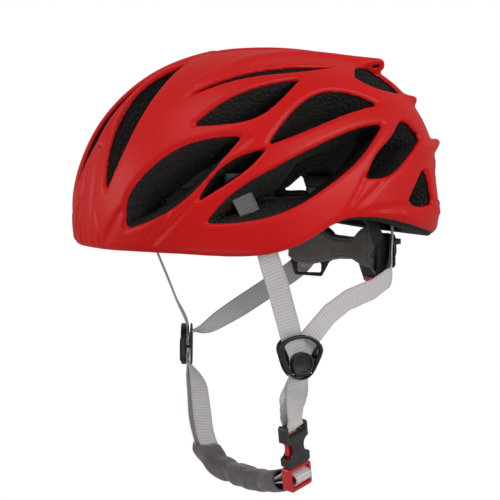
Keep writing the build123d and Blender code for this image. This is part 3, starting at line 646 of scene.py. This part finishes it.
MATERIALS = {
    "shell": satin_red(),
    "foam": bead_foam(),
    "pad": knit("dark_knit", (0.010, 0.010, 0.011), (0.035, 0.034, 0.035)),
    "hook": knit("hook_tape", (0.008, 0.008, 0.008), (0.03, 0.03, 0.03), 1500, 0.0004),
    "black_plastic": moulded("black_plastic", (0.006, 0.006, 0.006), (0.012, 0.012, 0.012)),
    "webbing": ribbed_webbing(),
    "steel": steel(),
    "buckle_grey": moulded("buckle_plastic", (0.030, 0.027, 0.027), (0.050, 0.045, 0.045), (0.30, 0.45)),
    "chin_fabric": knit("chin_fabric", (0.095, 0.080, 0.083), (0.235, 0.208, 0.212), 1000, 0.0003),
    "cradle_pad": knit("cradle_fabric", (0.105, 0.090, 0.082), (0.225, 0.198, 0.182), 1100, 0.0002),
    "red_plastic": moulded("red_plastic", (0.62, 0.012, 0.020), (0.72, 0.022, 0.032), (0.28, 0.4), 0.3),
    "rubber": rubber(),
}
ORANGE = moulded("orange_plastic", (0.45, 0.12, 0.03), (0.55, 0.16, 0.04))
BLACK_THREAD = moulded("dark_thread", (0.02, 0.018, 0.018), (0.04, 0.036, 0.036), (0.6, 0.8))


def dress(piece, body, slot, replaced=(), material=None):
    """Give a piece its material, its body (None where it bends between two) and the CAD nodes it replaces."""
    piece.data.materials.clear()
    piece.data.materials.append(material or MATERIALS[slot])
    if body:
        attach(piece, body)
    if replaced:
        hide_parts(*replaced)
    return piece


SLOT_OF = {part["node"]: part["material_slot"] for part in frame["record"]["subparts"]}
BODY_OF = {name: body for body, names in frame["record"]["behaviour"]["bodies"].items() for name in names}


def stand_for(piece, name):
    """Let a piece take the place of one CAD node."""
    return dress(piece, BODY_OF[name], SLOT_OF[name], [name])


for name, cad_piece in frame["nodes"].items():
    cad_piece.data.materials.clear()
    cad_piece.data.materials.append(MATERIALS[SLOT_OF[name]])

shell, liner = make_shell_and_liner()
dress(shell, "helmet", "shell", ["outer_shell"])
dress(liner, "helmet", "foam", ["eps_liner"])


# ---- hard pieces with softened edges ----
EDGE_ANGLE = 32         # degrees from which an edge is rounded
SHARP_ANGLE = 40        # degrees from which an edge is shaded as sharp
FLAT_ANGLE = 1.5        # faces that turn less than this are joined before the edges are rounded


def softened(name, width):
    """A copy of a CAD piece whose edges are rounded as a mould rounds them."""
    mesh = frame["nodes"][name].data.copy()
    edit = bmesh.new()
    edit.from_mesh(mesh)
    bmesh.ops.remove_doubles(edit, verts=edit.verts, dist=0.00001)
    bmesh.ops.dissolve_limit(edit, angle_limit=math.radians(FLAT_ANGLE), verts=edit.verts, edges=edit.edges)
    edit.to_mesh(mesh)
    edit.free()
    obj = in_scene(name + "_moulded", mesh)
    bevel = obj.modifiers.new("Edges", "BEVEL")
    bevel.width = width * MM
    bevel.segments = 2
    bevel.angle_limit = math.radians(EDGE_ANGLE)
    apply_modifiers(obj)
    shade_smooth(obj.data)
    obj.data.set_sharp_from_angle(angle=math.radians(SHARP_ANGLE))
    stand_for(obj, name)


EDGE_WIDTH = {
    "divider_lever_left": 0.5, "divider_lever_right": 0.5, "buckle_socket": 0.6, "buckle_plug": 0.5,
    "buckle_prong_front": 0.3, "buckle_prong_rear": 0.3, "cradle_frame": 0.4, "housing_cover": 0.5,
    "dial_knob": 0.6, "dial_grip": 0.3, "cradle_insert": 0.3, "arm_left": 0.4, "arm_right": 0.4,
    "height_rail": 0.5, "strap_anchors": 0.5,
}
for name, width in EDGE_WIDTH.items():
    softened(name, width)


# ---- where the straps' hardware is ----
class Place:
    """A plane in space: a middle, an X and the direction that it faces."""

    def __init__(self, middle, x, face):
        self.middle = np.array(middle, float)
        self.face = unit(np.array(face, float))
        self.x = unit(np.array(x, float))
        self.y = np.cross(self.face, self.x)

    def point(self, x, y, z):
        return tuple(self.middle + self.x * x + self.y * y + self.face * z)


def opposite(direction):
    return tuple(-part for part in direction)


LEFT, RIGHT = (1, 0, 0), (-1, 0, 0)
FRONT_RIGHT = (-0.469, -0.883, 0)           # the way that the right divider faces
STRAP_FRONT_RIGHT = (-0.40, -0.80, -0.37)
FACE = (0.937, 0.321, -0.134)               # the way that the buckle faces
UP = (0.207, -0.207, 0.957)                 # from the buckle's plug to its socket
DOWN = opposite(UP)
BEHIND = opposite(FACE)
REAR_LEFT = opposite(FRONT_RIGHT)
divider_left = Place((85, -11.5, -85), (0, 1, 0), LEFT)
divider_right = Place((-85, -11.5, -95), (0.883, -0.469, 0), FRONT_RIGHT)
buckle = Place((53.9, 2.1, -153.1), np.cross(UP, FACE), FACE)


# ---- strap dividers ----
DIVIDER_OUTLINE = [(0, 15.2), (-8, 14.1), (-13.9, 11.2), (-15.9, 7.6), (-14.6, 1), (-11.7, -7), (-6.8, -13),
                   (0, -15.2), (6.8, -12.8), (11.9, -6), (15.4, 1), (16.2, 4.6), (13.8, 9.2), (7.8, 13.4)]
DIVIDER_WALL = 2.3
DIVIDER_WALL_LOW = 1.3  # at the bottom, beside the button
WALL_THINS = (-6, -13)  # heights on the divider between which the wall gets thinner
# Sections: share of the wall inwards, or millimetres inwards for the plate, and height on the divider.
RIM_SECTION = [(0.15, 0.8), (0, 1.3), (0, 3.7), (0.12, 4.2), (0.35, 4.45), (0.65, 4.4), (0.9, 4.1), (1, 3.6),
               (1, 1.2), (0.9, 0.8)]
PLATE_SECTION = [(1.0, -3.8), (0.3, -3.65), (0, -3.3), (0, -2.8), (0.3, -2.45), (0.8, -2.4)]
POST_RADIUS = 1.3
POST_ENDS = (-2.7, 1.2)
POST_X, POST_Y = 12.7, -0.6


def divider(name, place, mirror):
    """The back plate, the two posts and the thin raised rim of a strap divider."""
    outline = spline(DIVIDER_OUTLINE, 96, closed=True)
    if mirror:
        outline = outline[::-1] * (-1, 1)
    along = unit(np.roll(outline, -1, axis=0) - np.roll(outline, 1, axis=0))
    inward = np.stack([-along[:, 1], along[:, 0]], 1)
    thin_from, thin_to = WALL_THINS
    low = np.clip((thin_from - outline[:, 1]) / (thin_from - thin_to), 0, 1)
    wall = (DIVIDER_WALL + (DIVIDER_WALL_LOW - DIVIDER_WALL) * low)[:, None]
    solids = [([(outline + inward * wall * share, z) for share, z in RIM_SECTION], True),
              ([(outline + inward * step, z) for step, z in PLATE_SECTION], False)]
    turn = np.linspace(0, 2 * math.pi, 24, endpoint=False)
    for x in (-POST_X, POST_X):
        circle = np.stack([x + POST_RADIUS * np.cos(turn), POST_Y + POST_RADIUS * np.sin(turn)], 1)
        solids.append(([(circle, z) for z in POST_ENDS], False))
    points, faces = [], []
    for rings, closed in solids:
        faces += joined(len(rings[0][0]), len(rings), closed, start=len(points))
        points += [place.point(x, y, z) for ring, z in rings for x, y in ring]
    obj = make_object(name + "_rim", points, faces)
    obj.data.set_sharp_from_angle(angle=math.radians(SHARP_ANGLE))
    stand_for(obj, name)


divider("divider_frame_left", divider_left, False)
divider("divider_frame_right", divider_right, True)


# ---- webbing ----
def at_buckle(y, z):
    return buckle.point(0, y, z)


ROUTE_LEFT = [
    ((84, -57, 28), LEFT), ((85.5, -50, 14), LEFT), ((86, -43, -2), LEFT), ((86, -37, -13), LEFT),
    ((85.7, -28, -38), (0.94, -0.34, 0)),
    (divider_left.point(-6.5, 15, 0), (0.97, -0.25, 0)), (divider_left.point(-1, 2, 0), LEFT),
    (divider_left.point(-1, -13, 0), LEFT),
    ((76.7, -8.8, -111), (0.93, -0.3, -0.25)),
    (at_buckle(26, 3.6), FACE), (at_buckle(20, 2.35), FACE), (at_buckle(17, 2.35), FACE),
    (at_buckle(15.5, 1.5), (0.7, 0.7, -0.9)), (at_buckle(15.1, 0), (-0.2, 0.2, -0.96)),
    (at_buckle(15.5, -1.5), (-0.8, 0, -0.6)), (at_buckle(17, -2.35), BEHIND),
    (at_buckle(20, -2.35), BEHIND),
    (at_buckle(26, -3), (-0.9, -0.25, 0.3)), ((72.5, -12.5, -112.5), (-0.88, -0.1, 0.4)),
    (divider_left.point(0.5, -13, -1.45), RIGHT), (divider_left.point(2, 1, -1.45), RIGHT),
    (divider_left.point(9.5, 13, -1.45), RIGHT),
    ((80.5, 14, -58), (-0.9, -0.2, 0)), ((74, 32, -50), (-0.77, -0.4, 0)),
    ((70.3, 55.2, -43.5), (-0.76, -0.65, 0)), ((62.4, 72.6, -37), (-0.6, -0.8, 0)),
    ((56, 78, -24), (-0.49, -0.87, 0)),
    ((53.2, 80.4, -8), (-0.47, -0.88, 0)), ((53.2, 80.6, 20), (-0.5, -0.86, 0)),
]
CHIN_OUTER = [(-56, -10, -170.5), (-44, -7, -179), (-25, -4, -183.3), (0, -1, -184), (26, 2, -181.6),
              (38, 3, -178.3)]
CHIN_INNER = [(38, 2, -175.3), (26, 1, -178.8), (0, -1, -181.2), (-25, -4, -180.5), (-44, -7, -176),
              (-56, -8, -166.5)]
ROUTE_RIGHT = [
    ((-84, -57, 28), RIGHT), ((-85.8, -51, 14), (-0.6, -0.8, 0)), ((-87, -45.6, -2), STRAP_FRONT_RIGHT),
    ((-85.5, -18.5, -65), STRAP_FRONT_RIGHT),
    (divider_right.point(0, 15, 0), FRONT_RIGHT), (divider_right.point(0, 0, 0), FRONT_RIGHT),
    (divider_right.point(0, -14, 0), FRONT_RIGHT),
    ((-83, -8, -121), (-0.9, -0.4, 0)), ((-79.5, -7, -136), (-0.95, -0.1, -0.2)),
    ((-72, -8.5, -151), (-0.85, 0.1, -0.5)), ((-62, -9.5, -164), (-0.75, 0.1, -0.7)),
    *((point, (0, 0, -1)) for point in CHIN_OUTER),
    (at_buckle(-24.1, -6.5), DOWN), (at_buckle(-24.3, -3), DOWN), (at_buckle(-24.3, 0.3), DOWN),
    (at_buckle(-23.8, 3.2), (0.5, 0.4, -0.77)), (at_buckle(-22, 6.4), FACE), (at_buckle(-18, 6.4), FACE),
    (at_buckle(-16.2, 3.2), (0.8, 0.1, 0.58)), (at_buckle(-15.7, 0.3), UP), (at_buckle(-15.7, -3), UP),
    (at_buckle(-16.4, -6.5), UP),
    *((point, (0, 0, 1)) for point in CHIN_INNER),
    ((-60.5, -8.5, -160), (0.8, 0.1, 0.6)), ((-69, -7.2, -146), (0.93, 0.05, 0.35)),
    ((-77, -5.5, -129), (0.97, 0.12, 0.15)), ((-82, -7.5, -117), (0.75, 0.65, 0)),
    (divider_right.point(0, -14, -1.45), REAR_LEFT), (divider_right.point(0, 0, -1.45), REAR_LEFT),
    (divider_right.point(1, 6, -1.6), (0.469, 0.883, -0.1)),
    ((-83.9, -8, -86), (0.35, 0.65, -0.65)), ((-82.8, -1, -84), (0.6, 0.35, -0.7)),
    ((-81, 12, -78.5), (0.9, -0.05, -0.35)), ((-77.7, 31, -67.5), (0.92, -0.35, 0)),
    ((-73, 48, -56.5), (0.9, -0.43, 0)), ((-66.5, 63, -45.5), (0.85, -0.52, 0)),
    ((-61.5, 72, -37), (0.7, -0.72, 0)), ((-56.5, 79, -24), (0.74, -0.67, 0)),
    ((-53.7, 81.7, -8), (0.71, -0.71, 0)), ((-53.7, 81.7, 20), (0.71, -0.71, 0)),
]
# A quarter of the webbing's section: across and out from its middle, with a bead at the edge.
WEB_SECTION = [(0, 0.42), (2.5, 0.42), (5, 0.42), (6.6, 0.42), (7.0, 0.56), (7.35, 0.5), (7.5, 0.25),
               (7.5, 0)]
WEB_STEP = 1.1          # along the webbing between two sections
FACE_WEIGHT = 0.01      # of a face beside its point, in the spline through both
STRAIGHT_GAP = 18.0     # stations further apart than this are joined by a nearly straight run
STRAIGHT_SHARES = (0.2, 0.5, 0.8)


def pulled_straight(points, faces):
    """More stations on the straight line between those that are far apart."""
    rows = np.hstack([points, faces])
    more = [rows[0]]
    for a, b in zip(rows[:-1], rows[1:]):
        if np.linalg.norm(b[:3] - a[:3]) > STRAIGHT_GAP:
            more += [a + (b - a) * share for share in STRAIGHT_SHARES]
        more.append(b)
    more = np.array(more)
    return more[:, :3], more[:, 3:]


def webbing(name, stations):
    """A strip of webbing through stations of (point, direction that its face looks in)."""
    points, faces = (np.array(values, float) for values in zip(*stations))
    points, faces = pulled_straight(points, unit(faces))
    count = int(running_length(points)[-1] / WEB_STEP)
    both = spline(np.hstack([points, faces * FACE_WEIGHT]), count)
    line, face = both[:, :3], both[:, 3:]
    along = unit(np.gradient(line, axis=0))
    side = unit(np.cross(face, along))
    face = np.cross(along, side)
    section = WEB_SECTION + [(x, -t) for x, t in WEB_SECTION[-2::-1]]
    section += [(-x, t) for x, t in section[-2:0:-1]]
    size = len(section)
    points = np.stack([line + side * x + face * t for x, t in section], 1).reshape(-1, 3)
    obj = make_object(name, points, joined(size, count))
    corners = np.empty(len(obj.data.loops), np.int32)
    obj.data.loops.foreach_get("vertex_index", corners)
    across = np.array([x for x, t in section])
    uvs = np.stack([across[corners % size], running_length(line)[corners // size]], 1)
    uvs[-2 * size:] = 0
    obj.data.uv_layers.new(name="UVMap").data.foreach_set("uv", uvs.ravel())
    return obj


dress(webbing("webbing_left_woven", ROUTE_LEFT), "helmet", "webbing", ["webbing_left"])
web_right = dress(webbing("webbing_right_woven", ROUTE_RIGHT), None, "webbing", ["webbing_right"])
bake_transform(web_right)


# ---- soft pads ----
PAD_VOXEL = 1.8
PAD_INSET = 0.7         # the cover before it is puffed up, inside the CAD piece
PAD_PUFF = 1.3          # the most that any point of it moves
PAD_PRESSURE = 4
PAD_FRAMES = 20


def cushion(name):
    """A foam pad in a fabric cover, puffed up from its CAD piece by a cloth simulation."""
    scene = bpy.context.scene
    obj = in_scene(name + "_cushion", frame["nodes"][name].data.copy())
    remesh = obj.modifiers.new("Weave", "REMESH")
    remesh.mode = "VOXEL"
    remesh.voxel_size = PAD_VOXEL * MM
    apply_modifiers(obj)
    normals = np.array([vertex.normal for vertex in obj.data.vertices])
    rest = read_points(obj.data) - normals * PAD_INSET * MM
    obj.data.vertices.foreach_set("co", rest.ravel())
    cloth = obj.modifiers.new("Cover", "CLOTH")
    cloth.settings.use_pressure = True
    cloth.settings.uniform_pressure_force = PAD_PRESSURE
    cloth.settings.quality = 4
    cloth.settings.effector_weights.gravity = 0
    cloth.point_cache.frame_end = PAD_FRAMES
    for number in range(1, PAD_FRAMES + 1):
        scene.frame_set(number)
    apply_modifiers(obj)
    scene.frame_set(1)
    move = read_points(obj.data) - rest
    length = np.linalg.norm(move, axis=1)[:, None] + 1e-9
    puffed = rest + move * np.minimum(1, PAD_PUFF * MM / length)
    obj.data.vertices.foreach_set("co", puffed.ravel())
    obj.modifiers.new("Smooth", "SUBSURF").levels = 1
    apply_modifiers(obj)
    shade_smooth(obj.data)
    stand_for(obj, name)


for name in ("brow_pad", "crown_pad_center", "crown_pad_left", "crown_pad_right", "temple_pad_left",
             "temple_pad_right"):
    cushion(name)


# ---- chin pad: a padded sleeve on both plies of the strap ----
CHIN_LINE = [(-60, -9.8, -167), (-45, -7.5, -177.5), (-25, -4, -181.9), (0, -1, -182.6), (26, 2, -180.2),
             (38, 2.7, -177.3)]
CHIN_HALF = (9.9, 7.9)  # half its width and half its height
CHIN_SQUARE = 0.8       # 1 for an oval section, less for a squarer one
# Folds: place as a share of the length, depth as a share of the radius, and slant from middle to top.
CHIN_FOLDS = [(0.17, 0.1158, 4), (0.38, 0.1368, -2.5), (0.58, 0.1053, 3), (0.66, 0.0526, -4.5),
              (0.80, 0.1053, -2)]
CHIN_FOLD_WIDTH = 4.6
CHIN_FOLD_WAVE = 1.5    # how far a fold wanders along the sleeve
CHIN_NARROWED = 0.55    # share of the radius lost at the start, gone CHIN_NARROW_RUN further on
CHIN_NARROW_RUN = 7
CHIN_LEAN_RUN = 26      # its start is cut aslant, which has gone this far on
CHIN_LEAN_BACK = 3.75
CHIN_LEAN_TOP = 6.45
CHIN_CLOSED = 0.02      # share of the radius left at a closed end
# The open end by the buckle: share of the end's radius and depth from it.
CHIN_MOUTH = [(0.93, -1.0), (0.84, -0.6), (0.80, 0.8), (0.78, 7), (CHIN_CLOSED, 7)]
CHIN_DARK_BANDS = 3     # the last bands between those rings, which are black


def chin_sleeve():
    count, around = ((150, 96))
    line = spline(CHIN_LINE, count)
    ahead = unit(np.gradient(line, axis=0))
    across = unit(np.cross((0, 0, 1), ahead))
    up = np.cross(ahead, across)
    length = running_length(line)
    turn = np.linspace(0, 2 * math.pi, around, endpoint=False)
    wide = np.sign(np.cos(turn)) * np.abs(np.cos(turn)) ** CHIN_SQUARE
    high = np.sign(np.sin(turn)) * np.abs(np.sin(turn)) ** CHIN_SQUARE
    rings = []
    for i in range(count):
        grown = np.ones(around)
        for share, depth, slant in CHIN_FOLDS:
            fold = share * length[-1] + slant * high + CHIN_FOLD_WAVE * np.sin(3 * turn + 9 * share)
            grown -= depth * np.exp(-((length[i] - fold) / CHIN_FOLD_WIDTH) ** 2)
        grown *= 1 - CHIN_NARROWED * max(0, 1 - length[i] / CHIN_NARROW_RUN) ** 2
        lean = max(0, 1 - length[i] / CHIN_LEAN_RUN)
        ring = line[i] + np.outer(lean * (CHIN_LEAN_TOP * high - CHIN_LEAN_BACK), ahead[i])
        ring += np.outer(wide * CHIN_HALF[0] * grown, across[i])
        ring += np.outer(high * CHIN_HALF[1] * grown, up[i])
        rings.append(ring)
    lip = rings[-1]
    rings += [line[-1] + (lip - line[-1]) * share - ahead[-1] * depth for share, depth in CHIN_MOUTH]
    middle = rings[0].mean(0)
    rings.insert(0, middle + (rings[0] - middle) * CHIN_CLOSED)
    faces = joined(around, len(rings), capped=False)
    sleeve = make_object("chin_pad_sleeve", np.vstack(rings), faces)
    dress(sleeve, BODY_OF["chin_pad"], "chin_fabric", ["chin_pad"])
    sleeve.data.materials.append(BLACK_THREAD)
    dark_from = len(faces) - CHIN_DARK_BANDS * around
    sleeve.data.polygons.foreach_set("material_index", [int(i >= dark_from) for i in range(len(faces))])


chin_sleeve()


# ---- pads of the rear cradle ----
NAPE_MIDDLE_Y = 28
NAPE_RADIUS = 69.4      # outside of the pads
NAPE_THICK = 4.6
NAPE_END = 62           # degrees from the middle of the nape to the end of a pad
# Edges of the band: degrees from the middle of the nape, and height.
NAPE_UPPER = [(-3, -6), (5, -6.5), (11, -9), (17, -14.5), (25, -14.8), (34, -13.3), (40, -9.5), (46, -9),
              (55, -15), (62, -23)]
NAPE_LOWER = [(-3, -36.5), (6, -36.5), (12, -35), (19, -32), (29, -32.3), (40, -35), (50, -37), (57, -35),
              (62, -31)]
NAPE_ROUND = 1.1        # how far from its edge the pillow has risen by two thirds
NAPE_SEAMS = (24.5, 0)  # along the band from the middle
NAPE_SEAM_DEPTH = 0.8
NAPE_STITCH = 3.0       # from the edge to a stitched line, whose width and depth follow
NAPE_STITCH_WIDTH = 0.55
NAPE_STITCH_DEPTH = 0.7
NAPE_RIM = 0.5          # thickness of the pad at its edges


def nape_band(name, side, replaced):
    """One half of the padded band inside the cradle, pillowed towards the head."""
    columns, rows = ((150, 52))
    degrees = np.linspace(0, NAPE_END, columns)
    angles = np.radians(degrees)
    top, bottom = (np.interp(degrees, *spline(edge, 200).T)[:, None] for edge in (NAPE_UPPER, NAPE_LOWER))
    height = bottom + (top - bottom) * np.linspace(0, 1, rows)
    arc = (angles * NAPE_RADIUS)[:, None]
    edge = np.minimum(np.minimum(height - bottom, top - height), arc[-1] - arc)
    puff = NAPE_THICK * (1 - np.exp(-np.maximum(edge, 0) / NAPE_ROUND))
    seam = sum(np.exp(-(arc - place) ** 2) for place in NAPE_SEAMS)
    stitch = np.exp(-((edge - NAPE_STITCH) / NAPE_STITCH_WIDTH) ** 2)
    puff = puff - NAPE_SEAM_DEPTH * seam * (edge > 1) - NAPE_STITCH_DEPTH * stitch
    sheets = []
    for radius in (NAPE_RADIUS - NAPE_RIM - puff, np.full_like(puff, NAPE_RADIUS)):
        x = side * radius * np.sin(angles)[:, None]
        y = NAPE_MIDDLE_Y + radius * np.cos(angles)[:, None]
        sheets.append(np.stack([x, y, height], -1).reshape(-1, 3))
    size = columns * rows
    quads, dark = [], []
    for i in range(columns - 1):
        for a in range(i * rows, i * rows + rows - 1):
            quad = (a, a + rows, a + rows + 1, a + 1)
            quads += [quad, tuple(index + size for index in quad[::-1])]
            dark += [0, 1]
    last = size - rows
    border = [*range(0, last, rows), *range(last, size), *range(last - 1, rows - 2, -rows),
              *range(rows - 2, 0, -1)]
    for a, b in zip(border, border[1:] + border[:1]):
        quads.append((b, a, a + size, b + size))
        dark.append(1)
    if side < 0:
        quads = [quad[::-1] for quad in quads]
    band = make_object(name, np.vstack(sheets), quads)
    dress(band, None, "cradle_pad", replaced)
    band.data.materials.append(MATERIALS["black_plastic"])
    band.data.polygons.foreach_set("material_index", dark)
    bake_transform(band)


nape_band("nape_pad_left_half", 1, ["nape_pad", "arm_pad_left"])
nape_band("nape_pad_right_half", -1, ["arm_pad_right"])


# ---- the orange line on the buckle ----
MARK_MIDDLE = (-5, 16.2)
MARK_OUTLINE = [(-4.1, 0), (-3.5, 0.5), (0, 0.62), (3.5, 0.5), (4.1, 0), (3.5, -0.5), (0, -0.62),
                (-3.5, -0.5)]
MARK_HEIGHT = 0.7       # share of the outline's height
MARK_RINGS = [(3.9, 1, 1), (4.35, 1, 1), (4.5, 0.7284, 0.72)]  # height on the buckle, then size


def socket_mark():
    """The thin orange line on the face of the buckle's socket."""
    outline = spline(MARK_OUTLINE, 48, closed=True) * (1, MARK_HEIGHT)
    points = []
    for z, *size in MARK_RINGS:
        points += [buckle.point(x, y, z) for x, y in MARK_MIDDLE + outline * size]
    mark = make_object("socket_mark", points, joined(len(outline), len(MARK_RINGS)), smooth=False)
    dress(mark, BODY_OF["buckle_socket"], "red_plastic", material=ORANGE)


socket_mark()


# ---- camera, light and floor ----
BACK = Vector((0.8808, -0.4683, 0.0698))
DISTANCE = 1.5
FLOOR_HALF, FLOOR_Z = 6000, -600


def make_camera():
    data = bpy.data.cameras.new("Camera")
    data.lens = 153.4
    data.shift_x = -0.010
    data.shift_y = -0.056
    camera = in_scene("Camera", data)
    camera.location = BACK * DISTANCE
    camera.rotation_euler = BACK.to_track_quat("Z", "Y").to_euler()
    bpy.context.scene.camera = camera


def soft_light(name, place, watts, size):
    """A square light that looks at the helmet."""
    data = bpy.data.lights.new(name, "AREA")
    data.energy = watts
    data.size = size
    light = in_scene(name, data)
    light.location = place
    light.rotation_euler = Vector(place).to_track_quat("Z", "Y").to_euler()


def make_world():
    """Even studio light, white where the camera looks past the helmet."""
    world = bpy.data.worlds.new("Studio")
    bpy.context.scene.world = world
    world.use_nodes = True
    tree = world.node_tree
    lit, seen = tree.nodes["Background"], tree.nodes.new("ShaderNodeBackground")
    for light, strength in ((lit, 0.30), (seen, 1.0)):
        light.inputs["Color"].default_value = (1, 1, 1, 1)
        light.inputs["Strength"].default_value = strength
    path = tree.nodes.new("ShaderNodeLightPath")
    mix = tree.nodes.new("ShaderNodeMixShader")
    tree.links.new(path.outputs["Is Camera Ray"], mix.inputs["Fac"])
    tree.links.new(lit.outputs[0], mix.inputs[1])
    tree.links.new(seen.outputs[0], mix.inputs[2])
    tree.links.new(mix.outputs[0], tree.nodes["World Output"].inputs["Surface"])


def make_floor():
    """A plain pale floor, well below the helmet."""
    corners = [(x * FLOOR_HALF, y * FLOOR_HALF, FLOOR_Z) for x, y in ((-1, -1), (1, -1), (1, 1), (-1, 1))]
    floor = make_object("floor", corners, [(0, 1, 2, 3)], smooth=False)
    floor.data.materials.append(new_material(
        "floor_white", Base_Color=(0, 0, 0, 1), Roughness=1.0, Specular_IOR_Level=0.0,
        Emission_Color=(1, 1, 1, 1), Emission_Strength=1.0))
    floor.visible_diffuse = floor.visible_glossy = floor.visible_shadow = False


make_camera()
make_world()
make_floor()
soft_light("key_above", (0.35, -0.55, 1.2), 5, 0.9)
soft_light("fill_front", (-0.5, -1.4, 0.35), 5.5, 0.8)
soft_light("fill_rear", (1.3, 0.9, 0.55), 11, 0.9)
soft_light("under", (0.7, -0.4, -0.9), 2.5, 0.8)

bpy.context.scene.view_settings.view_transform = "Standard"
bpy.context.view_layer.update()
